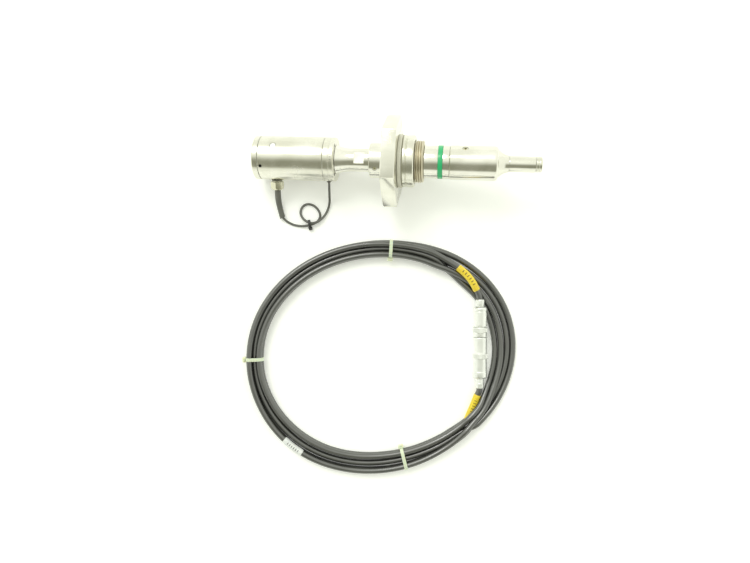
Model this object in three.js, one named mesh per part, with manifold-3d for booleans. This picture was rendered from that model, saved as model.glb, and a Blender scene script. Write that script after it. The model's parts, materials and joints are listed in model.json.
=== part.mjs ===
// A flame sensor probe lying on a table with its coiled extension lead.
// Millimetres. The row's frame has +Z up and +X along the probe towards its tip.
// The lead lies on the -Y side.
// The probe is built in a local frame whose X is the probe's axis, with x = 0 at the rear end face.
import * as THREE from "three";
import { mergeVertices } from "three/addons/utils/BufferGeometryUtils.js";
import Module from "manifold-3d";

const wasm = await Module();
wasm.setup();

// ---- Driving dimensions ----
const GAP = 0.3; // clearance kept between touching pieces
const ROUND = 24; // sides of a large turned piece
const FINE = 16; // sides of a small turned piece

const HOUSING_R = 22;
const HOUSING_BORE_R = 19.8;
const CAP_END = 6.3;
const SLEEVE_END = 72.1;
const RING_END = 83;
const NECK_R = 11.5;
const NECK_BORE_R = 7.6;
const TAPER_END = 98;
const COLLAR_R = 17.3;
const COLLAR_START = 117.2;
const HEX_START = 132.2;
const HEX_END = 146.5;
const HEX_ACROSS_FLATS = 80;
const GASKET_END = 150.9;
const FLANGE_R = 25.7;
const FLANGE_END = 162.6;
const THREAD_R = 20.95; // G 1 1/4: 41.9 mm over the crests
const THREAD_DEPTH = 1.1;
const SPIGOT_END = 171.7;
const JOURNAL_R = 14;
const RUNNING_GAP = 0.3;
const BODY_R = 16.3;
const BODY_END = 197.2;
const BAND_START = 185.6;
const BAND_END = 190;
const TIP_R = 16.9;
const TIP_BORE_R = 13.9;
const TIP_SHOULDER = 240.4;
const CONE_END = 254.2;
const SIGHT_R = 7.8;
const SIGHT_BORE_R = 5.7;
const LIP_START = 280;
const LIP_R = 7.6;
const TIP_END = 285.7;

// The probe rests on the rear edge of its cap and on the hexagon's lower flat, so its axis is pitched.
const PITCH = Math.atan((HEX_ACROSS_FLATS / 2 - HOUSING_R) / HEX_START);
const AXIS_Z = HOUSING_R * Math.cos(PITCH);
const REAR_REACH = HOUSING_R * Math.sin(PITCH);
const TIP_REACH = TIP_END * Math.cos(PITCH) + LIP_R * Math.sin(PITCH);
const AXIS_X = (REAR_REACH - TIP_REACH) / 2; // puts the origin under the middle of the probe

const PLUG_HOLE = { x: 21.6, turn: -24, r: 2.9 };
const GLAND = { x: 20, turn: 110, hole: 4.6 };
const CAP_SCREW = { x: 9.4, turn: 32, r: 1.3 };
const CAP_SCREW_LOW = { x: 9.4, turn: 152, r: 1.3 };
const ENTRY = { x: 75, turn: 106, r: 2 };
const COLLAR_SCREW = { x: 124, turn: 37, r: 2 };
const TIP_SCREW = { x: 211.6, turn: -44, r: 2.5 };
const SHOULDER_SCREWS = [{ turn: -40 }, { turn: 65 }];

const CORD_R = 1.25;
const LEAD_D = 6.2;

// ---- Materials ----
const material = (color, roughness, metalness) =>
  new THREE.MeshStandardMaterial({ color, roughness, metalness });
const SATIN = material(0xb9b8ae, 0.38, 1);
const POLISHED = material(0xcfcec8, 0.22, 1);
const THREADED = material(0xa39a80, 0.5, 1);
const NICKEL = material(0xc4c2a4, 0.3, 1);
const CHROME = material(0xc9cacb, 0.3, 1);
const BRASS = material(0xb59a55, 0.4, 1);
const GREEN = material(0x0f9a50, 0.5, 0);
const BLACK_RUBBER = material(0x1c1c1b, 0.6, 0);
const BLACK_PLASTIC = material(0x252525, 0.45, 0);
const BLACK_STEEL = material(0x161616, 0.5, 0.6);
const WHITE_SEAL = material(0xe3e3da, 0.5, 0);
const YELLOW = material(0xe0b020, 0.5, 0);
const WHITE = material(0xf0f0ee, 0.5, 0);
const NYLON = material(0xdedccb, 0.45, 0);
const GLASS = material(0xdfeef2, 0.05, 0);
const BOARD = material(0x1d5a33, 0.5, 0);

// ---- Solids ----
// A closed geometry as a manifold-3d solid.
function solid(geometry) {
  const bare = geometry.index ? geometry.toNonIndexed() : geometry.clone();
  const points = new THREE.BufferGeometry().setAttribute("position", bare.getAttribute("position"));
  const merged = mergeVertices(points, 1e-4);
  return new wasm.Manifold(
    new wasm.Mesh({
      numProp: 3,
      vertProperties: merged.attributes.position.array,
      triVerts: new Uint32Array(merged.index.array),
    }),
  );
}

// A manifold-3d solid as a geometry.
function geometryOf(made) {
  const mesh = made.getMesh();
  const geometry = new THREE.BufferGeometry();
  geometry.setAttribute("position", new THREE.BufferAttribute(mesh.vertProperties, 3));
  geometry.setIndex(new THREE.BufferAttribute(mesh.triVerts, 1));
  return geometry.toNonIndexed();
}

function cut(geometry, ...tools) {
  return geometryOf(tools.reduce((rest, tool) => rest.subtract(solid(tool)), solid(geometry)));
}

function join(...pieces) {
  return geometryOf(pieces.map(solid).reduce((sum, piece) => sum.add(piece)));
}

// Turns an outline of [x, radius] points, listed from the rear over the outside and back, about the X axis.
function turned(outline, sides = ROUND) {
  const points = [...outline].reverse().map(([x, r]) => new THREE.Vector2(r, x));
  const first = points[0];
  const last = points.at(-1);
  if (first.x > 0 || last.x > 0) points.push(first.clone());
  return new THREE.LatheGeometry(points.reverse(), sides).rotateZ(-Math.PI / 2);
}

// A tube from x0 to x1.
function tube(x0, x1, outer, inner, sides = ROUND) {
  return turned([[x0, inner], [x0, outer], [x1, outer], [x1, inner]], sides);
}

function rod(x0, x1, r, sides = FINE) {
  return turned([[x0, 0], [x0, r], [x1, r], [x1, 0]], sides);
}

// A ring of round section whose middle circle lies at x.
function ringSeal(x, middle, section, sides = 24) {
  return new THREE.TorusGeometry(middle, section, 6, sides).rotateY(Math.PI / 2).translate(x, 0, 0);
}

// A hexagonal prism along X with flats facing up and down.
function hexagon(x0, x1, acrossFlats) {
  const corner = acrossFlats / Math.sqrt(3);
  return new THREE.CylinderGeometry(corner, corner, x1 - x0, 6)
    .rotateZ(-Math.PI / 2)
    .rotateX(Math.PI / 2)
    .translate((x0 + x1) / 2, 0, 0);
}

// Moves a geometry made along +X from the origin to point outwards from the probe's axis at x.
// turn is in degrees from straight up towards -Y, and from is the distance from the axis.
function outwards(geometry, x, turn, from) {
  return geometry
    .rotateY(-Math.PI / 2)
    .translate(x, 0, from)
    .rotateX(THREE.MathUtils.degToRad(turn));
}

function radialRod(x, turn, from, to, r, sides = 20) {
  return outwards(rod(0, to - from, r, sides), x, turn, from);
}

// The row-frame place of a point that is given like those of radialRod.
function placeOf(x, turn, from) {
  const angle = THREE.MathUtils.degToRad(turn);
  return probe.localToWorld(
    new THREE.Vector3(x, -from * Math.sin(angle), from * Math.cos(angle)),
  );
}

const V = (x, y, z) => new THREE.Vector3(x, y, z);

// A round tube along a smooth curve through the points.
function along(points, r, steps, sides = 8, tension = 0.5) {
  const curve = new THREE.CatmullRomCurve3(points, false, "catmullrom", tension);
  const section = new THREE.Shape();
  for (let i = 0; i < sides; i++) {
    const angle = (2 * Math.PI * i) / sides;
    const [x, y] = [r * Math.cos(angle), r * Math.sin(angle)];
    if (i === 0) section.moveTo(x, y);
    else section.lineTo(x, y);
  }
  section.closePath();
  return new THREE.ExtrudeGeometry(section, { steps, extrudePath: curve, curveSegments: 1 });
}

// ---- Scene graph ----
const part = new THREE.Group();
const probe = new THREE.Group();
probe.position.set(AXIS_X, 0, AXIS_Z);
probe.rotation.y = -PITCH;
part.add(probe);
part.updateMatrixWorld(true);

function add(group, name, geometry, look) {
  const mesh = new THREE.Mesh(geometry, look);
  mesh.name = name;
  group.add(mesh);
  return mesh;
}

// ---- Rear housing ----
const SPIGOT_R = HOUSING_BORE_R - GAP;
const RECEPTACLE_R = 7.5;

function endCap() {
  const groove = { x: 11.5, w: 2, r: SPIGOT_R - 1.8 };
  const outline = [
    [0, RECEPTACLE_R + GAP],
    [0, HOUSING_R - 0.8],
    [0.8, HOUSING_R],
    [CAP_END - GAP, HOUSING_R],
    [CAP_END - GAP, SPIGOT_R],
    [groove.x, SPIGOT_R],
    [groove.x, groove.r],
    [groove.x + groove.w, groove.r],
    [groove.x + groove.w, SPIGOT_R],
    [15, SPIGOT_R],
    [15, RECEPTACLE_R + GAP],
  ];
  const holes = [CAP_SCREW, CAP_SCREW_LOW].map(({ x, turn, r }) => radialRod(x, turn, 14, 30, r + GAP));
  return cut(turned(outline), ...holes);
}

add(probe, "end_cap", endCap(), SATIN);
add(probe, "cap_o_ring", ringSeal(12.5, SPIGOT_R - 0.8, 0.75), BLACK_RUBBER);
add(
  probe,
  "rear_receptacle",
  turned([[0.6, 5.2], [0.6, RECEPTACLE_R], [21, RECEPTACLE_R], [21, 0], [12, 0], [12, 5.2]], FINE),
  CHROME,
);

function housingSleeve() {
  const shell = turned([
    [CAP_END, HOUSING_BORE_R],
    [CAP_END, HOUSING_R - 0.3],
    [CAP_END + 0.4, HOUSING_R],
    [SLEEVE_END - 0.4, HOUSING_R],
    [SLEEVE_END, HOUSING_R - 0.4],
    [SLEEVE_END, HOUSING_BORE_R],
  ]);
  const holes = [
    radialRod(PLUG_HOLE.x, PLUG_HOLE.turn, 10, 30, PLUG_HOLE.r + GAP),
    radialRod(GLAND.x, GLAND.turn, 10, 30, GLAND.hole + GAP),
    ...[CAP_SCREW, CAP_SCREW_LOW].map(({ x, turn, r }) => radialRod(x, turn, 10, 30, r + GAP)),
  ];
  return cut(shell, ...holes);
}

add(probe, "housing_sleeve", housingSleeve(), SATIN);
add(
  probe,
  "sleeve_plug",
  radialRod(PLUG_HOLE.x, PLUG_HOLE.turn, HOUSING_BORE_R - 1, HOUSING_R - 0.1, PLUG_HOLE.r),
  POLISHED,
);
[["cap_set_screw_near", CAP_SCREW], ["cap_set_screw_low", CAP_SCREW_LOW]].forEach(([name, { x, turn, r }]) =>
  add(probe, name, radialRod(x, turn, 14.6, HOUSING_R - 0.4, r, 12), BLACK_STEEL),
);

// ---- Front ring and neck ----
const TAIL_R = 10;
const RING_BORE_R = TAIL_R + GAP;
const FACE_SCREW_R = 1.4;
const FACE_SCREW_AT = 17.6; // distance of the shoulder screws from the axis
const RING_GROOVE = { x: SLEEVE_END - 5.4, w: 2 };

function frontRing() {
  const start = SLEEVE_END + GAP;
  const shape = turned([
    [SLEEVE_END - 8.4, RING_BORE_R],
    [SLEEVE_END - 8.4, SPIGOT_R],
    [RING_GROOVE.x, SPIGOT_R],
    [RING_GROOVE.x, SPIGOT_R - 1.8],
    [RING_GROOVE.x + RING_GROOVE.w, SPIGOT_R - 1.8],
    [RING_GROOVE.x + RING_GROOVE.w, SPIGOT_R],
    [start, SPIGOT_R],
    [start, HOUSING_R - 0.3],
    [start + 0.4, HOUSING_R],
    [start + 5.2, HOUSING_R],
    [start + 5.5, HOUSING_R - 0.4],
    [start + 6, HOUSING_R - 0.4],
    [start + 6.3, HOUSING_R],
    [RING_END - 0.6, HOUSING_R],
    [RING_END, HOUSING_R - 0.6],
    [RING_END, RING_BORE_R],
  ]);
  const holes = SHOULDER_SCREWS.map(({ turn }) =>
    faceRod(turn, RING_END - 8, RING_END + 4, FACE_SCREW_R + GAP),
  );
  return cut(shape, radialRod(ENTRY.x, ENTRY.turn, 8, 30, ENTRY.r + GAP), ...holes);
}

// A rod parallel to the probe's axis, at the shoulder screws' distance from it.
function faceRod(turn, x0, x1, r) {
  return rod(x0, x1, r, 12)
    .translate(0, 0, FACE_SCREW_AT)
    .rotateX(THREE.MathUtils.degToRad(turn));
}

add(probe, "front_ring", frontRing(), SATIN);
add(probe, "front_o_ring", ringSeal(RING_GROOVE.x + 1, SPIGOT_R - 0.8, 0.75), BLACK_RUBBER);
SHOULDER_SCREWS.forEach(({ turn }, i) => {
  const screw = faceRod(turn, RING_END - 7.4, RING_END - 0.3, FACE_SCREW_R);
  add(probe, `shoulder_screw_${i + 1}`, screw, BLACK_STEEL);
});

function neckTube() {
  const start = RING_END + GAP;
  const foot = 3; // how much wider the taper is at the ring
  const taper = [];
  for (let i = 0; i <= 6; i++) {
    const t = i / 6;
    taper.push([start + (TAPER_END - start) * t, NECK_R + foot * (1 - t) ** 1.8]);
  }
  const body = turned([
    [start - 13, NECK_BORE_R],
    [start - 13, TAIL_R],
    [start, TAIL_R],
    ...taper,
    [HEX_START - 1, NECK_R],
    [HEX_START - 1, NECK_BORE_R],
  ]);
  const flat = { x: 107.2, length: 10.2, at: NECK_R - 1.4 };
  const mill = (turn) =>
    new THREE.BoxGeometry(flat.length, 30, 6)
      .translate(flat.x, 0, flat.at + 3)
      .rotateX(THREE.MathUtils.degToRad(turn));
  return cut(body, mill(-2), mill(178), radialRod(ENTRY.x, ENTRY.turn, 6, 12, ENTRY.r + GAP));
}

add(probe, "neck_tube", neckTube(), POLISHED);

function adapterCollar() {
  const start = COLLAR_START + GAP;
  const end = HEX_START - GAP;
  const ring = turned([
    [start, NECK_R + GAP],
    [start, COLLAR_R - 0.8],
    [start + 0.8, COLLAR_R],
    [end, COLLAR_R],
    [end, NECK_R + GAP],
  ]);
  return cut(ring, radialRod(COLLAR_SCREW.x, COLLAR_SCREW.turn, 8, 24, COLLAR_SCREW.r + GAP));
}

add(probe, "adapter_collar", adapterCollar(), POLISHED);
add(
  probe,
  "collar_screw",
  radialRod(COLLAR_SCREW.x, COLLAR_SCREW.turn, NECK_R + GAP, COLLAR_R - 0.4, COLLAR_SCREW.r, 14),
  BLACK_STEEL,
);

// ---- Mounting fitting, which turns on the body tube's journal ----
const FITTING_SLEEVE_R = 18;

function mountingHex() {
  const prism = hexagon(HEX_START + GAP, HEX_END, HEX_ACROSS_FLATS);
  const corner = HEX_ACROSS_FLATS / Math.sqrt(3);
  const chamfer = turned([
    [HEX_START, 0],
    [HEX_START, corner - 2.4],
    [HEX_START + 2, corner + 0.6],
    [HEX_END - 1.2, corner + 0.6],
    [HEX_END + GAP, corner - 1.4],
    [HEX_END + GAP, 0],
  ]);
  const blank = geometryOf(solid(prism).intersect(solid(chamfer)));
  return cut(blank, rod(HEX_START - 2, HEX_END + 2, FITTING_SLEEVE_R + GAP, ROUND));
}

add(probe, "mounting_hex", mountingHex(), POLISHED);
add(
  probe,
  "sealing_gasket",
  tube(HEX_END + GAP, GASKET_END - GAP, FLANGE_R + 0.6, FITTING_SLEEVE_R + GAP),
  WHITE_SEAL,
);
add(
  probe,
  "flange_ring",
  turned([
    [GASKET_END, FITTING_SLEEVE_R + GAP],
    [GASKET_END, FLANGE_R - 0.9],
    [GASKET_END + 0.9, FLANGE_R],
    [154.2, FLANGE_R],
    [154.5, FLANGE_R - 0.6],
    [155.3, FLANGE_R - 0.6],
    [155.6, FLANGE_R],
    [FLANGE_END - 0.9, FLANGE_R],
    [FLANGE_END, FLANGE_R - 0.9],
    [FLANGE_END, THREAD_R + 0.5],
    [FLANGE_END - 1.2, THREAD_R + 0.5],
    [FLANGE_END - 1.2, FITTING_SLEEVE_R + GAP],
  ]),
  SATIN,
);

function threadedSpigot() {
  const start = FLANGE_END + GAP;
  const pitch = 2.31; // eleven threads to the inch
  const outline = [
    [HEX_START + GAP, JOURNAL_R + RUNNING_GAP],
    [HEX_START + GAP, FITTING_SLEEVE_R],
    [start, FITTING_SLEEVE_R],
    [start, THREAD_R - THREAD_DEPTH],
  ];
  for (let x = start + 0.5; x + pitch < SPIGOT_END; x += pitch) {
    outline.push([x, THREAD_R - THREAD_DEPTH]);
    outline.push([x + pitch * 0.45, THREAD_R]);
    outline.push([x + pitch * 0.6, THREAD_R]);
  }
  outline.push([SPIGOT_END - 0.2, THREAD_R - THREAD_DEPTH]);
  outline.push([SPIGOT_END - 0.2, JOURNAL_R + RUNNING_GAP]);
  return turned(outline);
}

add(probe, "threaded_spigot", threadedSpigot(), THREADED);

// ---- Body tube ----
const BODY_BORE_R = 9.6;
const SEAL_X = 153; // the swivel seal's groove
const JOINT_END = BODY_END + 7.4; // the body's spigot inside the tip housing
add(
  probe,
  "body_tube",
  turned([
    [HEX_START - GAP / 2, BODY_BORE_R],
    [HEX_START - GAP / 2, JOURNAL_R],
    [SEAL_X - 1.3, JOURNAL_R],
    [SEAL_X - 1.3, 12.2],
    [SEAL_X + 1.3, 12.2],
    [SEAL_X + 1.3, JOURNAL_R],
    [SPIGOT_END + 0.1, JOURNAL_R],
    [SPIGOT_END + 0.1, BODY_R - 0.4],
    [SPIGOT_END + 0.5, BODY_R],
    [BAND_START - GAP, BODY_R],
    [BAND_START - GAP, BODY_R - 0.7],
    [BAND_END + GAP, BODY_R - 0.7],
    [BAND_END + GAP, BODY_R],
    [BODY_END - 0.7, BODY_R],
    [BODY_END - GAP, BODY_R - 0.4],
    [BODY_END - GAP, TIP_BORE_R - GAP],
    [JOINT_END, TIP_BORE_R - GAP],
    [JOINT_END, BODY_BORE_R],
  ]),
  POLISHED,
);
add(probe, "swivel_o_ring", ringSeal(SEAL_X, 13.4, 0.85), BLACK_RUBBER);
add(probe, "green_band", tube(BAND_START, BAND_END, BODY_R + 0.15, BODY_R - 0.4), GREEN);

// ---- Tip ----
const TIP_TAIL_BORE_R = 7.2;
const TIP_BORE_END = TIP_SHOULDER - 2.2;

function tipHousing() {
  const shoulder = [];
  for (let i = 0; i <= 5; i++) {
    const angle = (Math.PI / 2) * (i / 5);
    shoulder.push([TIP_SHOULDER + 3.4 * Math.sin(angle), TIP_R - 3 + 3 * Math.cos(angle)]);
  }
  const cone = [];
  for (let i = 1; i <= 6; i++) {
    const t = i / 6;
    const r = SIGHT_R + 0.4 + (TIP_R - 3 - SIGHT_R - 0.4) * (1 - t) ** 1.7;
    cone.push([TIP_SHOULDER + 3.4 + (CONE_END - TIP_SHOULDER - 3.4) * t, r]);
  }
  const shell = turned([
    [BODY_END, TIP_BORE_R],
    [BODY_END, TIP_R - 0.3],
    [BODY_END + 0.3, TIP_R],
    ...shoulder,
    ...cone,
    [CONE_END, TIP_TAIL_BORE_R],
    [TIP_BORE_END, TIP_TAIL_BORE_R],
    [TIP_BORE_END, TIP_BORE_R],
  ]);
  return cut(shell, radialRod(TIP_SCREW.x, TIP_SCREW.turn, 10, 20, TIP_SCREW.r + GAP));
}

add(probe, "tip_housing", tipHousing(), POLISHED);
add(
  probe,
  "tip_set_screw",
  radialRod(TIP_SCREW.x, TIP_SCREW.turn, TIP_BORE_R + 0.1, TIP_R - 0.3, TIP_SCREW.r, 16),
  BLACK_STEEL,
);
add(
  probe,
  "sight_tube",
  turned(
    [
      [CONE_END - 10, SIGHT_BORE_R],
      [CONE_END - 10, TIP_TAIL_BORE_R - GAP],
      [CONE_END + GAP, TIP_TAIL_BORE_R - GAP],
      [CONE_END + GAP, SIGHT_R],
      [LIP_START - GAP, SIGHT_R],
      [LIP_START - GAP, SIGHT_BORE_R],
    ],
    36,
  ),
  POLISHED,
);
add(
  probe,
  "sight_tube_lip",
  turned(
    [
      [LIP_START, SIGHT_BORE_R],
      [LIP_START, LIP_R - 0.4],
      [LIP_START + 0.8, LIP_R],
      [TIP_END - 0.4, LIP_R],
      [TIP_END, LIP_R - 0.4],
      [TIP_END, SIGHT_BORE_R + 0.4],
      [TIP_END - 0.4, SIGHT_BORE_R],
    ],
    36,
  ),
  SATIN,
);

// ---- Optics and sensor inside the tip ----
const CELL_R = TIP_BORE_R - GAP;
const LENS_R = 10.8;
const HOLDER_X = JOINT_END + GAP;
const CELL_X = HOLDER_X + 10;
const LENS_X = CELL_X + 10;
const WINDOW_X = TIP_BORE_END - 3.6;
const SHELF_R = 7;
add(probe, "quartz_window", rod(WINDOW_X, WINDOW_X + 3.2, 12.2, 24), GLASS);
add(probe, "window_o_ring", ringSeal(WINDOW_X - 1.1, 11.8, 0.8), BLACK_RUBBER);

function collectingLens() {
  const bulge = [];
  for (let i = 0; i <= 5; i++) {
    const r = LENS_R * (1 - i / 5);
    bulge.push([LENS_X + 2.4 + 3.6 * (1 - (r / LENS_R) ** 2), r]);
  }
  return turned([[LENS_X, 0], [LENS_X, LENS_R], ...bulge]);
}

add(probe, "collecting_lens", collectingLens(), GLASS);
add(
  probe,
  "lens_cell",
  turned([
    [CELL_X, SHELF_R],
    [CELL_X, CELL_R],
    [CELL_X + 17.4, CELL_R],
    [CELL_X + 17.4, LENS_R + GAP],
    [LENS_X - GAP, LENS_R + GAP],
    [LENS_X - GAP, SHELF_R],
  ]),
  BLACK_STEEL,
);
add(
  probe,
  "photocell_holder",
  turned([
    [HOLDER_X, 5.2],
    [HOLDER_X, CELL_R],
    [HOLDER_X + 9.4, CELL_R],
    [HOLDER_X + 9.4, SHELF_R],
    [HOLDER_X + 5.4, SHELF_R],
    [HOLDER_X + 5.4, 5.2],
  ]),
  BLACK_PLASTIC,
);
add(
  probe,
  "photocell",
  turned(
    [
      [HOLDER_X - 1, 0],
      [HOLDER_X - 1, 4.6],
      [HOLDER_X + 5.7, 4.6],
      [HOLDER_X + 5.7, 5.9],
      [HOLDER_X + 6.7, 5.9],
      [HOLDER_X + 6.7, 4.6],
      [HOLDER_X + 8.8, 4.6],
      [HOLDER_X + 8.8, 0],
    ],
    FINE,
  ),
  NICKEL,
);
add(probe, "sensor_lead", rod(62, HOLDER_X - 1 - GAP, 1.6, 10), BLACK_PLASTIC);

// ---- Electronics inside the rear housing ----
const BOARD_AT = 4;
add(
  probe,
  "amplifier_board",
  new THREE.BoxGeometry(38, 30, 1.6).translate(43.5, 0, -BOARD_AT),
  BOARD,
);
for (const [i, side] of [-1, 1].entries())
  add(
    probe,
    `board_standoff_${i + 1}`,
    rod(0, 6.4, 2, 10)
      .rotateY(-Math.PI / 2)
      .translate(56, side * 11, -BOARD_AT - 0.8 - GAP - 6.4),
    BRASS,
  );
add(
  probe,
  "board_carrier",
  new THREE.BoxGeometry(4, 26, 2).translate(56, 0, -BOARD_AT - 0.8 - 2 * GAP - 6.4 - 1),
  SATIN,
);
add(
  probe,
  "terminal_block",
  new THREE.BoxGeometry(9, 20, 8).translate(51, 0, -BOARD_AT + 0.8 + GAP + 4),
  GREEN,
);

// ---- Side gland and the short looped cord ----
const GLAND_SEAL_AT = HOUSING_R + 0.4;
const GLAND_ROOT = 17.4;
const GLAND_NUT_AT = GLAND_SEAL_AT + 1.6;
const GLAND_NUT_LENGTH = 8.4;
const GLAND_END = GLAND_NUT_AT + GLAND_NUT_LENGTH;

add(
  probe,
  "gland_body",
  outwards(tube(0, GLAND_SEAL_AT + 1.2 - GLAND_ROOT, GLAND.hole, 3, FINE), GLAND.x, GLAND.turn, GLAND_ROOT),
  NICKEL,
);
add(
  probe,
  "gland_seal",
  cut(
    outwards(tube(0, 2.4, 6, GLAND.hole + GAP, FINE), GLAND.x, GLAND.turn, GLAND_SEAL_AT - 1.2),
    rod(0, 80, HOUSING_R + GAP, ROUND),
  ),
  BLACK_RUBBER,
);

function glandNut() {
  const flats = 12;
  const prism = hexagon(0, GLAND_NUT_LENGTH, flats);
  const round = turned([
    [0, 0],
    [0, flats / 2 + 0.5],
    [0.6, flats / Math.sqrt(3) + 0.1],
    [GLAND_NUT_LENGTH - 1.2, flats / Math.sqrt(3) + 0.1],
    [GLAND_NUT_LENGTH, flats / 2 - 0.4],
    [GLAND_NUT_LENGTH, 0],
  ], FINE);
  const blank = geometryOf(solid(prism).intersect(solid(round)));
  return cut(blank, rod(-1, GLAND_NUT_LENGTH + 1, 3.2, 20));
}

add(probe, "gland_nut", outwards(glandNut(), GLAND.x, GLAND.turn, GLAND_NUT_AT), NICKEL);

const glandMouth = placeOf(GLAND.x, GLAND.turn, GLAND_END + GAP);
const glandOut = placeOf(GLAND.x, GLAND.turn, GLAND_END + 5);
const SLEEVE_R = 3.1;
const sleeveRoute = [
  glandMouth,
  glandOut,
  V(-118.6, -42.4, 6.9),
  V(-116.8, -50.2, 4.4),
  V(-114.6, -57.2, 3.4),
];
add(part, "heat_shrink_sleeve", along(sleeveRoute, SLEEVE_R, 9, 10), BLACK_RUBBER);

const entryMouth = placeOf(ENTRY.x, ENTRY.turn, HOUSING_R + 1.2);
const cordRoute = [
  V(-113.8, -58.8, 3.2),
  V(-111.4, -61.0, 2.0),
  V(-107.8, -63.4, 1.5),
  V(-103.0, -65.4, 1.4),
  V(-98.0, -66.3, 1.5),
  V(-92.4, -66.4, 1.9),
  V(-86.1, -65.2, 2.2),
  V(-79.8, -62.6, 1.9),
  V(-75.9, -58.6, 1.4),
  V(-75.0, -53.3, 1.4),
  V(-77.9, -47.8, 1.4),
  V(-83.0, -43.9, 1.4),
  V(-88.8, -43.1, 1.4),
  V(-93.4, -45.5, 1.4),
  V(-95.6, -50.2, 1.4),
  V(-94.9, -55.3, 1.8),
  V(-91.5, -59.6, 3.2),
  V(-86.0, -62.7, 5.0),
  V(-79.9, -62.6, 5.0),
  V(-74.3, -59.3, 4.0),
  V(-69.7, -53.6, 2.4),
  V(-66.7, -46.6, 1.8),
  V(-65.5, -39.9, 3.6),
  V(-65.5, -33.4, 10.0),
];
const pigtailRoute = [...cordRoute, entryMouth];
add(part, "pigtail_cord", along(pigtailRoute, CORD_R, 52, 8), BLACK_RUBBER);
add(
  probe,
  "entry_grommet",
  outwards(tube(0, 2.4, ENTRY.r, CORD_R + 0.2, 16), ENTRY.x, ENTRY.turn, HOUSING_R - 2),
  BLACK_RUBBER,
);

function pigtailTie() {
  const strap = cut(
    new THREE.BoxGeometry(2.4, 7.8, 8.0),
    new THREE.BoxGeometry(4, 6.6, 6.9),
  );
  const head = new THREE.BoxGeometry(4.2, 3.6, 3.8).translate(0, -5.2, -1.6);
  return join(strap, head).rotateZ(0.24).translate(-85.4, -63.6, 3.9);
}

add(part, "pigtail_tie", pigtailTie(), BLACK_PLASTIC);

// ---- Extension lead: coil, mated connectors, markers and ties ----
const COIL_BOTTOM = 1.6;
const COIL_HEIGHT = 2 * LEAD_D;
const COIL_TURN = THREE.MathUtils.degToRad(2.9); // of the oval's long axis from +X
const OVAL = { x: -2.07, y: -199.25, a: 132.6, b: 112.95 };
// The coil's band round that oval: an angle from the long axis, then how far outwards its inner and
// outer edges lie. It sags inwards at the lower right and fans out beside the connectors.
const COIL_BAND = [
  [-180, -7.2, 9.0],
  [-160, -7.2, 10.6],
  [-140, -6.6, 13.8],
  [-128, -6.5, 15.2],
  [-115, -6.8, 14.2],
  [-100, -10.0, 11.4],
  [-90, -12.8, 8.9],
  [-80, -14.9, 6.4],
  [-65, -16.2, 2.6],
  [-50, -16.3, -0.4],
  [-40, -16.6, -1.0],
  [-30, -17.6, 0.0],
  [-20, -18.7, 1.7],
  [-10, -18.5, 4.4],
  [0, -17.2, 7.2],
  [10, -15.8, 9.8],
  [20, -14.2, 12.2],
  [30, -12.4, 14.0],
  [40, -11.0, 15.0],
  [50, -10.2, 15.0],
  [60, -9.6, 14.0],
  [70, -9.1, 11.8],
  [80, -8.7, 9.2],
  [90, -8.7, 8.7],
  [110, -9.0, 8.2],
  [135, -8.8, 8.3],
  [160, -7.8, 8.7],
];
// The mated connectors: the plug's end rests on the coil's turns, so their axis falls towards the socket.
const CONNECTOR = {
  x: 97.1,
  y: -134.2,
  z: 11,
  length: 93.2,
  r: 7.2,
  lean: COIL_TURN,
  fall: THREE.MathUtils.degToRad(2.2),
};

// A place by the coil's oval, at an angle from its long axis and a distance outwards, and the way out.
function coilPoint(degrees, outwards) {
  const angle = THREE.MathUtils.degToRad(degrees);
  const out = Math.atan2(Math.sin(angle) * OVAL.a, Math.cos(angle) * OVAL.b);
  const point = V(
    OVAL.a * Math.cos(angle) + outwards * Math.cos(out),
    OVAL.b * Math.sin(angle) + outwards * Math.sin(out),
    0,
  ).applyAxisAngle(V(0, 0, 1), COIL_TURN);
  return { x: OVAL.x + point.x, y: OVAL.y + point.y, facing: COIL_TURN + out };
}

// One edge of the coil's band as a closed path: 1 for its inner edge, 2 for its outer one.
function coilEdge(edge, kind) {
  const corners = COIL_BAND.map((row) => {
    const place = coilPoint(row[0], row[edge]);
    return V(place.x, place.y, 0);
  });
  const points = new THREE.CatmullRomCurve3(corners, true).getSpacedPoints(120);
  return new kind(points.slice(0, -1).map((p) => new THREE.Vector2(p.x, p.y)));
}

const TIES = [
  { name: "coil_tie_top", at: 86, inside: true, middle: 0.1, width: 18.4, skew: 0 },
  { name: "coil_tie_left", at: 181.5, inside: false, middle: 0.9, width: 17.6, skew: 0 },
  { name: "coil_tie_bottom", at: -79.8, inside: true, middle: -4.3, width: 22.6, skew: 5.4 },
];
const WHITE_MARKER = { at: 232.6, outwards: 12.1 };
const LEAD_R = LEAD_D / 2;
const MARKER_R = LEAD_R + 0.7;
const upperMarker = [
  V(93.3, -125.1, 11.4),
  V(87.8, -116.2, 11.6),
  V(81.0, -108.6, 11.3),
  V(72.4, -101.9, 10.6),
];
const lowerMarker = [
  V(100.1, -234.2, 6.8),
  V(97.6, -242.6, 5.6),
  V(94.5, -251.7, 4.6),
  V(91.0, -261.5, 4.0),
];

function coilTie({ at, inside, middle, width, skew }) {
  const place = coilPoint(at, middle);
  const wall = 1.1;
  const [w, h] = [width + 2 * wall, COIL_HEIGHT + 2 * (wall + GAP)];
  const strap = cut(
    new THREE.BoxGeometry(w + 2 * GAP, 3.5, h),
    new THREE.BoxGeometry(w + 2 * GAP - 2 * wall, 6, h - 2 * wall),
  );
  const headAt = (inside ? -1 : 1) * (w / 2 + GAP + 1.4);
  const head = new THREE.BoxGeometry(4, 5.6, 5.4).translate(headAt, 0, 0);
  return join(strap, head)
    .rotateZ(place.facing + THREE.MathUtils.degToRad(skew))
    .translate(place.x, place.y, h / 2);
}

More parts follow.
